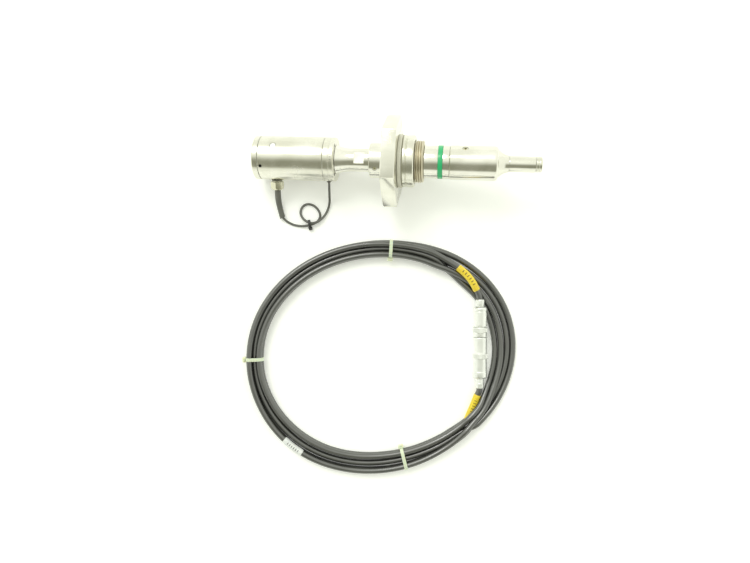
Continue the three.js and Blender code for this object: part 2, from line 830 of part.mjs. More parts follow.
// The point on the connectors' axis at a distance from the plug's cord end.
function connectorPoint(distance) {
  const { x, y, z, lean, fall } = CONNECTOR;
  const along = distance * Math.cos(fall);
  return V(x + along * Math.sin(lean), y - along * Math.cos(lean), z - distance * Math.sin(fall));
}

// The room that a marker sleeve takes in the coil.
function markerRoom(route) {
  return along(route, MARKER_R + 0.5, 6, 10);
}

function whiteMarker() {
  const place = coilPoint(WHITE_MARKER.at, WHITE_MARKER.outwards);
  return rod(-12, 12, LEAD_R + 0.5, 12)
    .rotateZ(Math.PI / 2 + place.facing)
    .translate(place.x, place.y, COIL_BOTTOM + COIL_HEIGHT - LEAD_R);
}

function coilSolid() {
  const outline = coilEdge(2, THREE.Shape);
  outline.holes.push(coilEdge(1, THREE.Path));
  const ring = new THREE.ExtrudeGeometry(outline, {
    depth: COIL_HEIGHT,
    bevelEnabled: false,
  }).translate(0, 0, COIL_BOTTOM);
  const notch = new THREE.BoxGeometry(17, CONNECTOR.length + 20, 40)
    .rotateZ(CONNECTOR.lean)
    .translate(...connectorPoint(CONNECTOR.length / 2).toArray());
  const slot = coilPoint(WHITE_MARKER.at, WHITE_MARKER.outwards);
  const markerSlot = new THREE.BoxGeometry(9, 26, 9)
    .rotateZ(slot.facing)
    .translate(slot.x, slot.y, COIL_BOTTOM + COIL_HEIGHT - LEAD_R);
  return cut(ring, notch, markerSlot, markerRoom(upperMarker), markerRoom(lowerMarker));
}

add(part, "lead_coil", coilSolid(), BLACK_PLASTIC);
TIES.forEach((tie) => add(part, tie.name, coilTie(tie), NYLON));

// Turns an outline of [distance from the plug's cord end, radius] points about the connectors' axis.
function connectorPiece(outline, sides = FINE) {
  return turned(outline, sides)
    .rotateY(CONNECTOR.fall)
    .rotateZ(CONNECTOR.lean - Math.PI / 2)
    .translate(CONNECTOR.x, CONNECTOR.y, CONNECTOR.z);
}

const LATCH_TRAVEL = 1.2;
const CR = CONNECTOR.r;
add(
  part,
  "plug_collet_nut",
  connectorPiece([[0, 3.5], [0, 4.1], [0.8, 4.5], [7.6, 4.5], [7.6, 3.5]], 16),
  CHROME,
);
add(
  part,
  "plug_shell",
  connectorPiece([
    [8, 3.5],
    [8, CR - 1],
    [9.2, CR],
    [28, CR],
    [28, 5.6],
    [36, 5.6],
    [36, 4.6],
    [9.5, 4.6],
    [9.5, 3.5],
  ]),
  CHROME,
);
add(
  part,
  "latch_sleeve",
  connectorPiece([
    [28 + LATCH_TRAVEL + 0.1, 6],
    [28 + LATCH_TRAVEL + 0.1, CR + 0.4],
    [34.4, CR + 0.4],
    [34.8, CR],
    [39, CR],
    [39, 6],
  ]),
  CHROME,
);
add(part, "plug_insert", connectorPiece([[14, 0], [14, 4.2], [40, 4.2], [40, 0]], 16), WHITE);
add(
  part,
  "socket_shell",
  connectorPiece([
    [39.4, 4.8],
    [39.4, CR - 0.3],
    [40, CR],
    [56.2, CR],
    [56.6, CR + 0.6],
    [61.6, CR + 0.6],
    [62, CR],
    [75.4, CR],
    [75.8, CR + 0.3],
    [81, CR + 0.3],
    [82.4, CR - 1],
    [82.4, 3.5],
    [80, 3.5],
    [80, 4.8],
  ]),
  CHROME,
);
add(part, "socket_insert", connectorPiece([[40.6, 0], [40.6, 4.4], [72, 4.4], [72, 0]], 16), WHITE);
add(
  part,
  "socket_collet_nut",
  connectorPiece([[83, 3.5], [83, 4.5], [92.4, 4.5], [93.2, 4.1], [93.2, 3.5]], 16),
  CHROME,
);

// The lead's two ends run from the connectors into the coil.
const plugTail = [connectorPoint(-GAP), connectorPoint(-3), V(94.7, -127.8, 11.3)];
const socketTail = [
  connectorPoint(CONNECTOR.length + GAP),
  connectorPoint(CONNECTOR.length + 2.4),
  V(100.9, -231.4, 7.2),
];
add(part, "lead_end_plug", along(plugTail, LEAD_R, 3, 10), BLACK_PLASTIC);
add(part, "lead_end_socket", along(socketTail, LEAD_R, 3, 10), BLACK_PLASTIC);

// Slip-on marker sleeves: two yellow ones by the connectors, and a white one on the coil's outermost turn.
add(part, "yellow_marker_plug", along(upperMarker, MARKER_R, 6, 10), YELLOW);
add(part, "yellow_marker_socket", along(lowerMarker, MARKER_R, 6, 10), YELLOW);
add(part, "white_marker", whiteMarker(), WHITE);

export default part;
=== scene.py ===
"""The flame sensor probe with its looped side cord and its coiled lead, on a pale table.

The probe's pieces are built about its own axis (local X, x = 0 at the rear face) in millimetres,
and placed by PROBE.
"""

import json
import math

import bmesh
import bpy
import numpy as np
from mathutils import Matrix, Vector


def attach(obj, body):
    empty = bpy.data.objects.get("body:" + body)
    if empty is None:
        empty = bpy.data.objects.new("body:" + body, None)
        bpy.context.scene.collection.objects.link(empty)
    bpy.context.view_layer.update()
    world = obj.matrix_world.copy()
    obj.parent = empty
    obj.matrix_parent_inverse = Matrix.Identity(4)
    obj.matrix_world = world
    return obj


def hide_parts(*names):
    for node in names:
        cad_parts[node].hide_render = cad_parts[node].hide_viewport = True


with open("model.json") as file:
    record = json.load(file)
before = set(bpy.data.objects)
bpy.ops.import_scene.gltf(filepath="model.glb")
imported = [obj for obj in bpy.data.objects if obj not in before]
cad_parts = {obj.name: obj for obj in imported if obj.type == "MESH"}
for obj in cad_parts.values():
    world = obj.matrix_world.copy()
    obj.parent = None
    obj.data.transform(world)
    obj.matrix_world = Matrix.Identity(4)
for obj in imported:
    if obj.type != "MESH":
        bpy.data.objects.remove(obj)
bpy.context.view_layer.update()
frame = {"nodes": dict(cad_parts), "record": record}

MM = 0.001
GAP = 0.3

# ---- The probe's stations and radii, in millimetres ----
HOUSING_R = 22
HOUSING_BORE_R = 19.8
CAP_END = 6.3
SLEEVE_END = 72.1
RING_END = 83
NECK_R = 11.5
NECK_BORE_R = 7.6
TAPER_END = 98
COLLAR_R = 17.3
COLLAR_START = 117.2
HEX_START = 132.2
HEX_END = 146.5
HEX_ACROSS_FLATS = 80
GASKET_END = 150.9
FLANGE_R = 25.7
FLANGE_END = 162.6
THREAD_R = 20.95
SPIGOT_END = 171.7
JOURNAL_R = 14
BODY_R = 16.3
BODY_END = 197.2
BAND_START = 185.6
BAND_END = 190
TIP_R = 16.9
TIP_BORE_R = 13.9
TIP_SHOULDER = 240.4
CONE_END = 254.2
SIGHT_R = 7.8
SIGHT_BORE_R = 5.7
LIP_START = 280
LIP_R = 7.6
TIP_END = 285.7
SPIGOT_R = HOUSING_BORE_R - GAP
TAIL_R = 10
FITTING_SLEEVE_R = 18

# Things in the probe's side: place along it, degrees from straight up towards -Y, and radius.
PLUG_HOLE = (21.6, -24, 2.9)
GLAND = (20, 110, 4.6)
CAP_SCREWS = {"cap_set_screw_near": (9.4, 32, 1.3), "cap_set_screw_low": (9.4, 152, 1.3)}
ENTRY = (75, 106, 2)
COLLAR_SCREW = (124, 37, 2)
TIP_SCREW = (211.6, -44, 2.5)
SHOULDER_TURNS = {"shoulder_screw_1": -40, "shoulder_screw_2": 65}
FACE_SCREW_R = 1.4
FACE_SCREW_AT = 17.6
# The neck's two flats.
FLATS_AT = 107.2
FLATS_TURNS = (-2, 178)
FLATS_LENGTH = 10.2
FLATS_DEPTH = 1.4

PITCH = math.atan((HEX_ACROSS_FLATS / 2 - HOUSING_R) / HEX_START)
AXIS_Z = HOUSING_R * math.cos(PITCH)
TIP_REACH = TIP_END * math.cos(PITCH) + LIP_R * math.sin(PITCH)
AXIS_X = (HOUSING_R * math.sin(PITCH) - TIP_REACH) / 2
PROBE = Matrix.Translation(Vector((AXIS_X, 0, AXIS_Z)) * MM) @ Matrix.Rotation(-PITCH, 4, "Y")

CORD_D = 2.5
LEAD_D = 6.2


# ---- Materials ----
def add_node(tree, kind, inputs, **values):
    """Adds a shader node. Each input takes a value, or a link where it is given another node's output."""
    node = tree.nodes.new("ShaderNode" + kind)
    for key, value in values.items():
        setattr(node, key, value)
    for socket, value in inputs.items():
        if isinstance(value, bpy.types.NodeSocket):
            tree.links.new(value, node.inputs[socket])
        else:
            node.inputs[socket].default_value = value
    return node


def smooth_step(tree, source, low, high):
    """A smooth 0 to 1 step of a factor."""
    inputs = {"Value": source, "From Min": low, "From Max": high}
    return add_node(tree, "MapRange", inputs, interpolation_type="SMOOTHSTEP").outputs["Result"]


def maths(tree, operation, *inputs):
    return add_node(tree, "Math", dict(enumerate(inputs)), operation=operation).outputs[0]


class Look:
    """A Principled material that is put together from procedural layers in object coordinates."""

    def __init__(self, name, metallic=0.0, roughness=0.4, **sockets):
        self.material = bpy.data.materials.new(name)
        self.material.use_nodes = True
        self.tree = self.material.node_tree
        self.shader = self.tree.nodes["Principled BSDF"]
        for socket, value in {"Metallic": metallic, "Roughness": roughness, **sockets}.items():
            self.shader.inputs[socket.replace("_", " ")].default_value = value
        self.coordinates = self.add("TexCoord", {})
        self.bump = None

    def add(self, kind, inputs, **values):
        return add_node(self.tree, kind, inputs, **values)

    def set(self, socket, source):
        self.tree.links.new(source, self.shader.inputs[socket])
        return self

    def noise(self, scale, stretch=(1, 1, 1), detail=3.0):
        mapping = self.add("Mapping", {"Scale": stretch, "Vector": self.coordinates.outputs["Object"]})
        inputs = {"Scale": scale, "Detail": detail, "Vector": mapping.outputs["Vector"]}
        return self.add("TexNoise", inputs).outputs["Fac"]

    def steps(self, factor, stops):
        ramp = self.add("ValToRGB", {"Fac": factor})
        for element, (place, colour) in zip(ramp.color_ramp.elements, stops):
            element.position = place
            element.color = (*colour, 1)
        return ramp.outputs["Color"]

    def colour(self, factor, stops):
        return self.set("Base Color", self.steps(factor, stops))

    def rough(self, factor, low, high, start=0.3, end=0.7):
        inputs = {"From Min": start, "From Max": end, "To Min": low, "To Max": high, "Value": factor}
        return self.set("Roughness", self.add("MapRange", inputs).outputs["Result"])

    def relief(self, factor, depth):
        """Adds a bump of this depth in metres on top of those before it."""
        inputs = {"Distance": depth, "Strength": 1.0, "Height": factor}
        if self.bump:
            inputs["Normal"] = self.bump
        self.bump = self.add("Bump", inputs).outputs["Normal"]
        return self.set("Normal", self.bump)

    def mask(self, low, high, factor):
        return smooth_step(self.tree, factor, low, high)


def turned_steel(name, light, dark, low, high, lines=1.0):
    """Stainless steel with fine turning lines round the local X axis, faint smudges and small scratches."""
    look = Look(name, metallic=1.0, roughness=(low + high) / 2)
    turning = look.noise(2600, (1, 0.012, 0.012), 4)
    feed = look.noise(700, (1, 0.01, 0.01), 2)
    smudge = look.noise(38, (1, 1.4, 1.4), 5)
    look.colour(look.mask(0.35, 0.68, smudge), [(0.0, dark), (1.0, light)])
    look.rough(smudge, low, high)
    look.relief(turning, 0.000004 * lines)
    look.relief(feed, 0.000012 * lines)
    scratch = look.noise(900, (0.1, 1, 0.3), 2)
    look.relief(look.mask(0.69, 0.72, scratch), 0.000006)
    return look.material


def plated(name, light, dark, low, high, grain=1400):
    look = Look(name, metallic=1.0, roughness=low)
    cloud = look.noise(60, detail=4)
    look.colour(cloud, [(0.3, dark), (0.7, light)])
    look.rough(cloud, low, high)
    look.relief(look.noise(grain, detail=2), 0.000008)
    return look.material


def polymer(name, light, dark, low, high, grain, depth, **sockets):
    """Moulded or extruded plastic or rubber with a fine skin and faint uneven tone."""
    look = Look(name, roughness=low, **sockets)
    cloud = look.noise(45, detail=5)
    look.colour(cloud, [(0.32, dark), (0.68, light)])
    look.rough(cloud, low, high)
    look.relief(look.noise(grain, detail=3), depth)
    return look.material


def threaded_steel():
    """Machined thread: lighter at the crests, darker and browner in the roots, from the surface's
    pointiness.
    """
    look = Look("thread_steel", metallic=1.0, roughness=0.38)
    cloud = look.noise(90, detail=5)
    crest = look.mask(0.47, 0.56, look.add("NewGeometry", {}).outputs["Pointiness"])
    tone = maths(look.tree, "MULTIPLY_ADD", cloud, 0.5, crest)
    look.colour(tone, [(0.2, (0.45, 0.4, 0.28)), (1.0, (0.7, 0.66, 0.53))])
    look.rough(cloud, 0.3, 0.5)
    look.relief(look.noise(1800, (1, 0.1, 0.1), 3), 0.00001)
    return look.material


def printed_sleeve(name, light, dark, ink):
    """A slip-on sleeve with plain ruled ticks along one side, from the tube's own UV."""
    look = Look(name, roughness=0.35, Coat_Weight=0.25, Subsurface_Weight=0.08)
    cloud = look.noise(120, detail=4)
    tone = look.steps(cloud, [(0.3, dark), (0.7, light)])
    split = look.add("SeparateXYZ", {"Vector": look.coordinates.outputs["UV"]})
    inputs = {"Factor": tick_marks(look, split), 6: tone, 7: (*ink, 1)}
    look.set("Base Color", look.add("Mix", inputs, data_type="RGBA").outputs[2])
    look.relief(look.noise(700, detail=2), 0.00002)
    return look.material


def tick_marks(look, split):
    """Short dark bars at even steps along a tube's length, on a narrow strip of its round."""
    count = 9
    tree = look.tree
    along = maths(tree, "FRACT", maths(tree, "MULTIPLY", split.outputs["X"], count))
    bar = maths(tree, "LESS_THAN", along, 0.28)
    inside = maths(tree, "COMPARE", split.outputs["X"], 0.5, 0.36)
    strip = maths(tree, "COMPARE", split.outputs["Y"], 0.5, 0.06)
    return maths(tree, "MULTIPLY", maths(tree, "MULTIPLY", bar, inside), strip)


def circuit_board():
    """Green solder mask with fine tracks."""
    look = Look("circuit_board", roughness=0.35, Coat_Weight=0.3)
    inputs = {
        "Vector": look.coordinates.outputs["Object"],
        "Scale": 260,
        "Mortar Size": 0.03,
        "Color1": (0.015, 0.13, 0.045, 1),
        "Color2": (0.02, 0.17, 0.06, 1),
        "Mortar": (0.06, 0.3, 0.12, 1),
    }
    brick = look.add("TexBrick", inputs)
    look.set("Base Color", brick.outputs["Color"])
    look.relief(brick.outputs["Fac"], 0.00002)
    return look.material


def optical_glass():
    look = Look("optical_glass", roughness=0.02, Transmission_Weight=0.9, IOR=1.46)
    dust = look.noise(300, detail=4)
    look.colour(dust, [(0.3, (0.84, 0.93, 0.95)), (0.8, (0.9, 0.96, 0.97))])
    look.rough(dust, 0.015, 0.08, 0.5, 0.8)
    return look.material


STEELS = {
    "satin_steel": ((0.8, 0.79, 0.71), (0.7, 0.69, 0.6), 0.2, 0.3, 1.3),
    "polished_steel": ((0.84, 0.83, 0.76), (0.75, 0.74, 0.66), 0.13, 0.22),
}
PLATINGS = {
    "dark_screw": ((0.06, 0.06, 0.055), (0.025, 0.025, 0.024), 0.3, 0.45),
    "nickel": ((0.76, 0.75, 0.6), (0.62, 0.6, 0.46), 0.2, 0.32),
    "matte_chrome": ((0.91, 0.92, 0.89), (0.83, 0.85, 0.82), 0.34, 0.46, 2200),
    "brass": ((0.72, 0.55, 0.24), (0.6, 0.44, 0.18), 0.25, 0.38),
}
POLYMERS = {
    "green_band": ((0.02, 0.47, 0.17), (0.012, 0.37, 0.12), 0.25, 0.4, 900, 0.00002),
    "terminal_green": ((0.03, 0.33, 0.1), (0.02, 0.25, 0.07), 0.4, 0.5, 900, 0.00003),
    "seal_rubber": ((0.12, 0.115, 0.085), (0.08, 0.076, 0.056), 0.5, 0.7, 1500, 0.00004),
    "gasket": ((0.76, 0.75, 0.66), (0.6, 0.58, 0.48), 0.6, 0.8, 500, 0.0001),
    "black_plastic": ((0.05, 0.05, 0.048), (0.03, 0.03, 0.029), 0.4, 0.55, 1300, 0.00004),
    "cord_black": ((0.15, 0.152, 0.135), (0.11, 0.112, 0.1), 0.38, 0.52, 1100, 0.00003),
    "lead_jacket": ((0.035, 0.037, 0.03), (0.02, 0.021, 0.018), 0.26, 0.36, 900, 0.00003),
    "insulator": ((0.78, 0.76, 0.68), (0.7, 0.68, 0.6), 0.4, 0.5, 900, 0.00002),
    "natural_nylon": ((0.82, 0.84, 0.62), (0.72, 0.74, 0.5), 0.35, 0.5, 800, 0.00003),
}
SHINE = {
    "green_band": {"Coat_Weight": 0.4},
    "lead_jacket": {"Specular_IOR_Level": 1.0, "IOR": 1.75},
    "natural_nylon": {"Subsurface_Weight": 0.2},
}
PRINTED = {
    "yellow_sleeve": ((0.9, 0.68, 0.04), (0.8, 0.57, 0.03), (0.2, 0.13, 0.02)),
    "white_sleeve": ((0.86, 0.87, 0.85), (0.76, 0.77, 0.75), (0.12, 0.12, 0.12)),
}
LOOKS = {
    "thread_steel": threaded_steel(),
    "circuit_board": circuit_board(),
    "optical_glass": optical_glass(),
    **{name: turned_steel(name, *values) for name, values in STEELS.items()},
    **{name: plated(name, *values) for name, values in PLATINGS.items()},
    **{name: polymer(name, *values, **SHINE.get(name, {})) for name, values in POLYMERS.items()},
    **{name: printed_sleeve(name, *values) for name, values in PRINTED.items()},
}
SLOT_OF = {piece["node"]: piece["material_slot"] for piece in frame["record"]["subparts"]}


def dress(obj, slot):
    obj.data.materials.clear()
    obj.data.materials.append(LOOKS[slot])


for node_name, node in frame["nodes"].items():
    dress(node, SLOT_OF[node_name])


# ---- Building pieces ----
def in_scene(name, data):
    obj = bpy.data.objects.new(name, data)
    bpy.context.scene.collection.objects.link(obj)
    return obj


def object_of(name, points, faces, matrix=PROBE):
    """A mesh object from points in millimetres, with its faces turned outwards."""
    mesh = bpy.data.meshes.new(name)
    mesh.from_pydata([Vector(p) * MM for p in points], [], faces)
    shape = bmesh.new()
    shape.from_mesh(mesh)
    bmesh.ops.remove_doubles(shape, verts=shape.verts, dist=1e-7)
    bmesh.ops.dissolve_degenerate(shape, edges=shape.edges, dist=1e-7)
    bmesh.ops.recalc_face_normals(shape, faces=shape.faces)
    shape.to_mesh(mesh)
    shape.free()
    obj = in_scene(name, mesh)
    obj.matrix_world = matrix
    return obj


def rounded(outline, radius):
    """A closed outline with each corner off the axis rounded, by at most a third of the sides next to it."""
    steps = 3
    result = []
    count = len(outline)
    for i, (x, r) in enumerate(outline):
        here = Vector((x, r))
        before = Vector(outline[i - 1]) - here
        after = Vector(outline[(i + 1) % count]) - here
        if r == 0 or min(before.length, after.length) < 1e-6:
            result.append((x, r))
            continue
        reach = min(radius, before.length / 3, after.length / 3)
        start = here + before.normalized() * reach
        end = here + after.normalized() * reach
        for k in range(steps + 1):
            t = k / steps
            point = start * (1 - t) ** 2 + here * 2 * t * (1 - t) + end * t**2
            result.append((point.x, point.y))
    return result


def lathe(name, outline, sides=144, corner=0.35, matrix=PROBE, shape=None):
    """Turns a closed outline of (x, radius) about the X axis. shape(x, r, angle) may change a radius."""
    profile = rounded(outline, corner) if corner else list(outline)
    points = []
    for i in range(sides):
        angle = 2 * math.pi * i / sides
        for x, r in profile:
            radius = shape(x, r, angle) if shape else r
            points.append((x, radius * math.cos(angle), radius * math.sin(angle)))
    n = len(profile)
    faces = [
        (i * n + j, i * n + (j + 1) % n, (i + 1) % sides * n + (j + 1) % n, (i + 1) % sides * n + j)
        for i in range(sides)
        for j in range(n)
    ]
    return object_of(name, points, faces, matrix)


def long_side(start, end, radius, step=4.0):
    """Points along a straight side, close enough together for clean shading round holes."""
    count = max(1, round((end - start) / step))
    return [(start + (end - start) * i / count, radius) for i in range(count + 1)]


def face_place(x, turn, distance):
    """The frame along the probe's axis, off it by a distance at a turn from straight up towards -Y."""
    shift = Matrix.Translation(Vector((x, 0, distance)) * MM)
    return PROBE @ Matrix.Rotation(math.radians(turn), 4, "X") @ shift


def side_place(x, turn, distance):
    """The frame there whose X axis points outwards from the probe."""
    return face_place(x, turn, distance) @ Matrix.Rotation(-math.pi / 2, 4, "Y")


def band(x0, x1, inner, outer):
    """The outline of a plain ring, or of a groove."""
    return [(x0, inner), (x0, outer), (x1, outer), (x1, inner)]


def pin(name, x0, x1, r, matrix, sides=40, corner=0.0):
    return lathe(name, band(x0, x1, 0, r), sides, corner, matrix)


def prism(name, x0, x1, across_flats, matrix):
    """A hexagonal prism along X with a flat facing up."""
    corner = across_flats / 2 / math.cos(math.pi / 6)
    angles = [math.pi / 6 * (2 * i + 1) for i in range(6)]
    points = [(x, corner * math.sin(angle), corner * math.cos(angle)) for x in (x0, x1) for angle in angles]
    walls = [(i, (i + 1) % 6, (i + 1) % 6 + 6, i + 6) for i in range(6)]
    return object_of(name, points, [tuple(range(6)), tuple(range(6, 12)), *walls], matrix)


def block(name, low, high, matrix=PROBE):
    points = [(x, y, z) for x in (low[0], high[0]) for y in (low[1], high[1]) for z in (low[2], high[2])]
    faces = [(0, 1, 3, 2), (4, 6, 7, 5), (0, 4, 5, 1), (2, 3, 7, 6), (0, 2, 6, 4), (1, 5, 7, 3)]
    return object_of(name, points, faces, matrix)


def shaped(obj, tools, operation="DIFFERENCE"):
    """Cuts each tool out of obj, or keeps what they share, and removes the tools."""
    for tool in tools:
        modifier = obj.modifiers.new("shape", "BOOLEAN")
        modifier.operation = operation
        modifier.solver = "EXACT"
        modifier.object = tool
    return baked(obj, tools)


def baked(obj, tools=()):
    bpy.context.view_layer.update()
    done = obj.evaluated_get(bpy.context.evaluated_depsgraph_get())
    mesh = bpy.data.meshes.new_from_object(done)
    obj.modifiers.clear()
    obj.data = mesh
    for tool in tools:
        bpy.data.objects.remove(tool, do_unlink=True)
    return obj


def bevelled(obj, width, segments=2, angle=30):
    modifier = obj.modifiers.new("edges", "BEVEL")
    modifier.width = width * MM
    modifier.segments = segments
    modifier.limit_method = "ANGLE"
    modifier.angle_limit = math.radians(angle)
    modifier.use_clamp_overlap = True
    return baked(obj)


def placed(obj, slot, body, *nodes, smooth=32):
    """Finishes a piece: shading, material, what it stands for and which body it rides on."""
    obj.data.polygons.foreach_set("use_smooth", [True] * len(obj.data.polygons))
    obj.data.set_sharp_from_angle(angle=math.radians(smooth))
    dress(obj, slot)
    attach(obj, body)
    if nodes:
        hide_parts(*nodes)
    return obj


def on_probe(obj, slot, *nodes, smooth=32):
    return placed(obj, slot, "probe", *nodes, smooth=smooth)


def on_fitting(obj, slot, *nodes, smooth=32):
    return placed(obj, slot, "mounting_fitting", *nodes, smooth=smooth)


def side_hole(spec, start, end):
    x, turn, r = spec
    return pin("hole", 0, end - start, r + GAP, side_place(x, turn, start))


def set_screw(name, start, end, r, matrix, node, slot="dark_screw"):
    """A headless screw with a hexagonal socket in its outer end."""
    screw = pin(name, 0, end - start, r, matrix, 40, 0.25)
    socket = prism(name + "_socket", end - start - r, end - start + 1, r * 1.05, matrix)
    return on_probe(shaped(screw, [socket]), slot, node)


# ---- Rear cap and housing ----
def build_cap():
    outline = [
        (0, 7.8),
        *[(0, r) for r in (11, 15, 18)],
        (0, HOUSING_R - 0.8), (0.8, HOUSING_R), (CAP_END - GAP, HOUSING_R), (CAP_END - GAP, SPIGOT_R),
        *band(11.5, 13.5, SPIGOT_R, SPIGOT_R - 1.8), (15, SPIGOT_R), (15, 7.8),
    ]
    holes = [side_hole(spec, 14, 30) for spec in CAP_SCREWS.values()]
    on_probe(shaped(lathe("fine_cap", outline, 192), holes), "satin_steel", "end_cap")


def build_receptacle():
    """The rear connector's socket: a keyed shell with an insert and pins."""
    shell = [(0.6, 5.2), (0.6, 7.5), (21, 7.5), (21, 0), (12, 0), (12, 5.2)]
    socket = lathe("fine_receptacle", shell, 96, 0.3)
    key = block("key", (-1, -0.9, 4.6), (8, 0.9, 6.1))
    on_probe(shaped(socket, [key]), "matte_chrome", "rear_receptacle")
    insert = lathe("receptacle_insert", band(11, 12.05, 0, 4.9), 64, 0.2)
    on_probe(insert, "insulator")
    for i in range(5):
        angle = 2 * math.pi * i / 5
        place = PROBE @ Matrix.Translation(Vector((0, 2.9 * math.sin(angle), 2.9 * math.cos(angle))) * MM)
        on_probe(pin(f"receptacle_pin_{i + 1}", 6, 11.1, 0.5, place, 20, 0.3), "brass")


def build_sleeve():
    outline = [
        (CAP_END, HOUSING_BORE_R), (CAP_END, HOUSING_R - 0.3),
        *long_side(CAP_END + 0.4, SLEEVE_END - 0.4, HOUSING_R), (SLEEVE_END, HOUSING_R - 0.4),
        (SLEEVE_END, HOUSING_BORE_R),
    ]
    holes = [side_hole(spec, 10, 30) for spec in (PLUG_HOLE, GLAND, *CAP_SCREWS.values())]
    on_probe(shaped(lathe("fine_sleeve", outline, 192, 0.1), holes), "satin_steel", "housing_sleeve")
    x, turn, r = PLUG_HOLE
    disc = [(-1, 0), (-1, r), (1.9, r), (2.05, r - 0.5), (2.05, 0.6), (1.9, 0)]
    plug = lathe("fine_sleeve_plug", disc, 72, 0.15, side_place(x, turn, HOUSING_R - 2.15))
    on_probe(plug, "matte_chrome", "sleeve_plug")
    for name, (x, turn, r) in CAP_SCREWS.items():
        set_screw("fine_" + name, 14.6, HOUSING_R - 0.4, r, side_place(x, turn, 14.6), name)


# ---- Front ring and neck ----
def build_ring():
    start = SLEEVE_END + GAP
    outline = [
        (SLEEVE_END - 8.4, TAIL_R + GAP), (SLEEVE_END - 8.4, SPIGOT_R),
        *band(SLEEVE_END - 5.4, SLEEVE_END - 3.4, SPIGOT_R, SPIGOT_R - 1.8), (start, SPIGOT_R),
        (start, HOUSING_R - 0.3), *long_side(start + 0.4, start + 5.2, HOUSING_R, 2),
        (start + 5.5, HOUSING_R - 0.4), (start + 6, HOUSING_R - 0.4),
        *long_side(start + 6.3, RING_END - 0.6, HOUSING_R, 2), (RING_END, HOUSING_R - 0.6),
        (RING_END, 19), (RING_END, 16), (RING_END, TAIL_R + GAP),
    ]
    places = {name: face_place(RING_END, turn, FACE_SCREW_AT) for name, turn in SHOULDER_TURNS.items()}
    holes = [pin("hole", -8, 4, FACE_SCREW_R + GAP, place) for place in places.values()]
    ring = shaped(lathe("fine_ring", outline, 192, 0.12), [side_hole(ENTRY, 8, 30), *holes])
    on_probe(ring, "satin_steel", "front_ring")
    for name, place in places.items():
        screw = pin("fine_" + name, -7.4, -0.3, FACE_SCREW_R, place, 40, 0.2)
        socket = prism("socket", -1.5, 1, FACE_SCREW_R * 1.1, place)
        on_probe(shaped(screw, [socket]), "dark_screw", name)
    # Plain dark dashes on the ring.
    for i, (turn, length) in enumerate([(-14, 1.6), (-8, 1.6), (-2, 3.0), (4, 1.6), (10, 1.6)]):
        place = side_place(RING_END - 2.6, turn, HOUSING_R - 0.2)
        dash = block(f"ring_dash_{i + 1}", (0, -0.22, -length / 2), (0.215, 0.22, length / 2), place)
        on_probe(dash, "dark_screw")


def build_neck():
    start = RING_END + GAP
    taper = []
    for i in range(13):
        t = i / 12
        taper.append((start + (TAPER_END - start) * t, NECK_R + 3 * (1 - t) ** 1.8))
    outline = [
        (start - 13, NECK_BORE_R), (start - 13, TAIL_R), (start, TAIL_R), *taper,
        *long_side(TAPER_END + 2, HEX_START - 1, NECK_R), (HEX_START - 1, NECK_BORE_R),
    ]
    tools = [side_hole(ENTRY, 6, 12)]
    half = FLATS_LENGTH / 2
    for turn in FLATS_TURNS:
        place = side_place(FLATS_AT, turn, NECK_R - FLATS_DEPTH)
        tools.append(block("mill", (0, -15, -half), (8, 15, half), place))
    neck = shaped(lathe("fine_neck", outline, 160, 0.1), tools)
    on_probe(neck, "polished_steel", "neck_tube", smooth=26)


def build_collar():
    start = COLLAR_START + GAP
    end = HEX_START - GAP
    outline = [
        (start, NECK_R + GAP), (start, COLLAR_R - 0.8), *long_side(start + 0.8, end, COLLAR_R, 2.5),
        (end, NECK_R + GAP),
    ]
    collar = shaped(lathe("fine_collar", outline, 160, 0.25), [side_hole(COLLAR_SCREW, 8, 24)])
    on_probe(collar, "polished_steel", "adapter_collar")
    x, turn, r = COLLAR_SCREW
    low = NECK_R + GAP
    place = side_place(x, turn, low)
    set_screw("fine_collar_screw", low, COLLAR_R - 0.4, r, place, "collar_screw", "nickel")


# ---- Mounting fitting ----
def build_hexagon():
    corner = HEX_ACROSS_FLATS / math.sqrt(3)
    body = prism("fine_hexagon", HEX_START + GAP, HEX_END, HEX_ACROSS_FLATS, PROBE)
    blank = [
        (HEX_START, 0), (HEX_START, corner - 2.4), (HEX_START + 2, corner + 0.6),
        (HEX_END - 1.2, corner + 0.6), (HEX_END + GAP, corner - 1.4), (HEX_END + GAP, 0),
    ]
    shaped(body, [lathe("blank", blank, 192, 0)], "INTERSECT")
    shaped(body, [pin("bore", HEX_START - 2, HEX_END + 2, FITTING_SLEEVE_R + GAP, PROBE, 128)])
    on_fitting(bevelled(body, 0.5, 2, 20), "polished_steel", "mounting_hex", smooth=24)
    # Plain marks on the top flat: two rows of short dashes and one long line.
    top = HEX_ACROSS_FLATS / 2
    marks = [((x, 10.5 + 4.2 * row), (0.5, 1.5)) for row in range(2) for x in (2.2, 4.0, 5.8, 7.6, 9.4)]
    marks.append(((6.6, 20.4), (5.6, 0.35)))
    for i, ((x, y), (w, d)) in enumerate(marks):
        low = (HEX_START + x - w, y - d, top - 0.3)
        high = (HEX_START + x + w, y + d, top + 0.012)
        on_fitting(block(f"hexagon_mark_{i + 1}", low, high), "thread_steel")


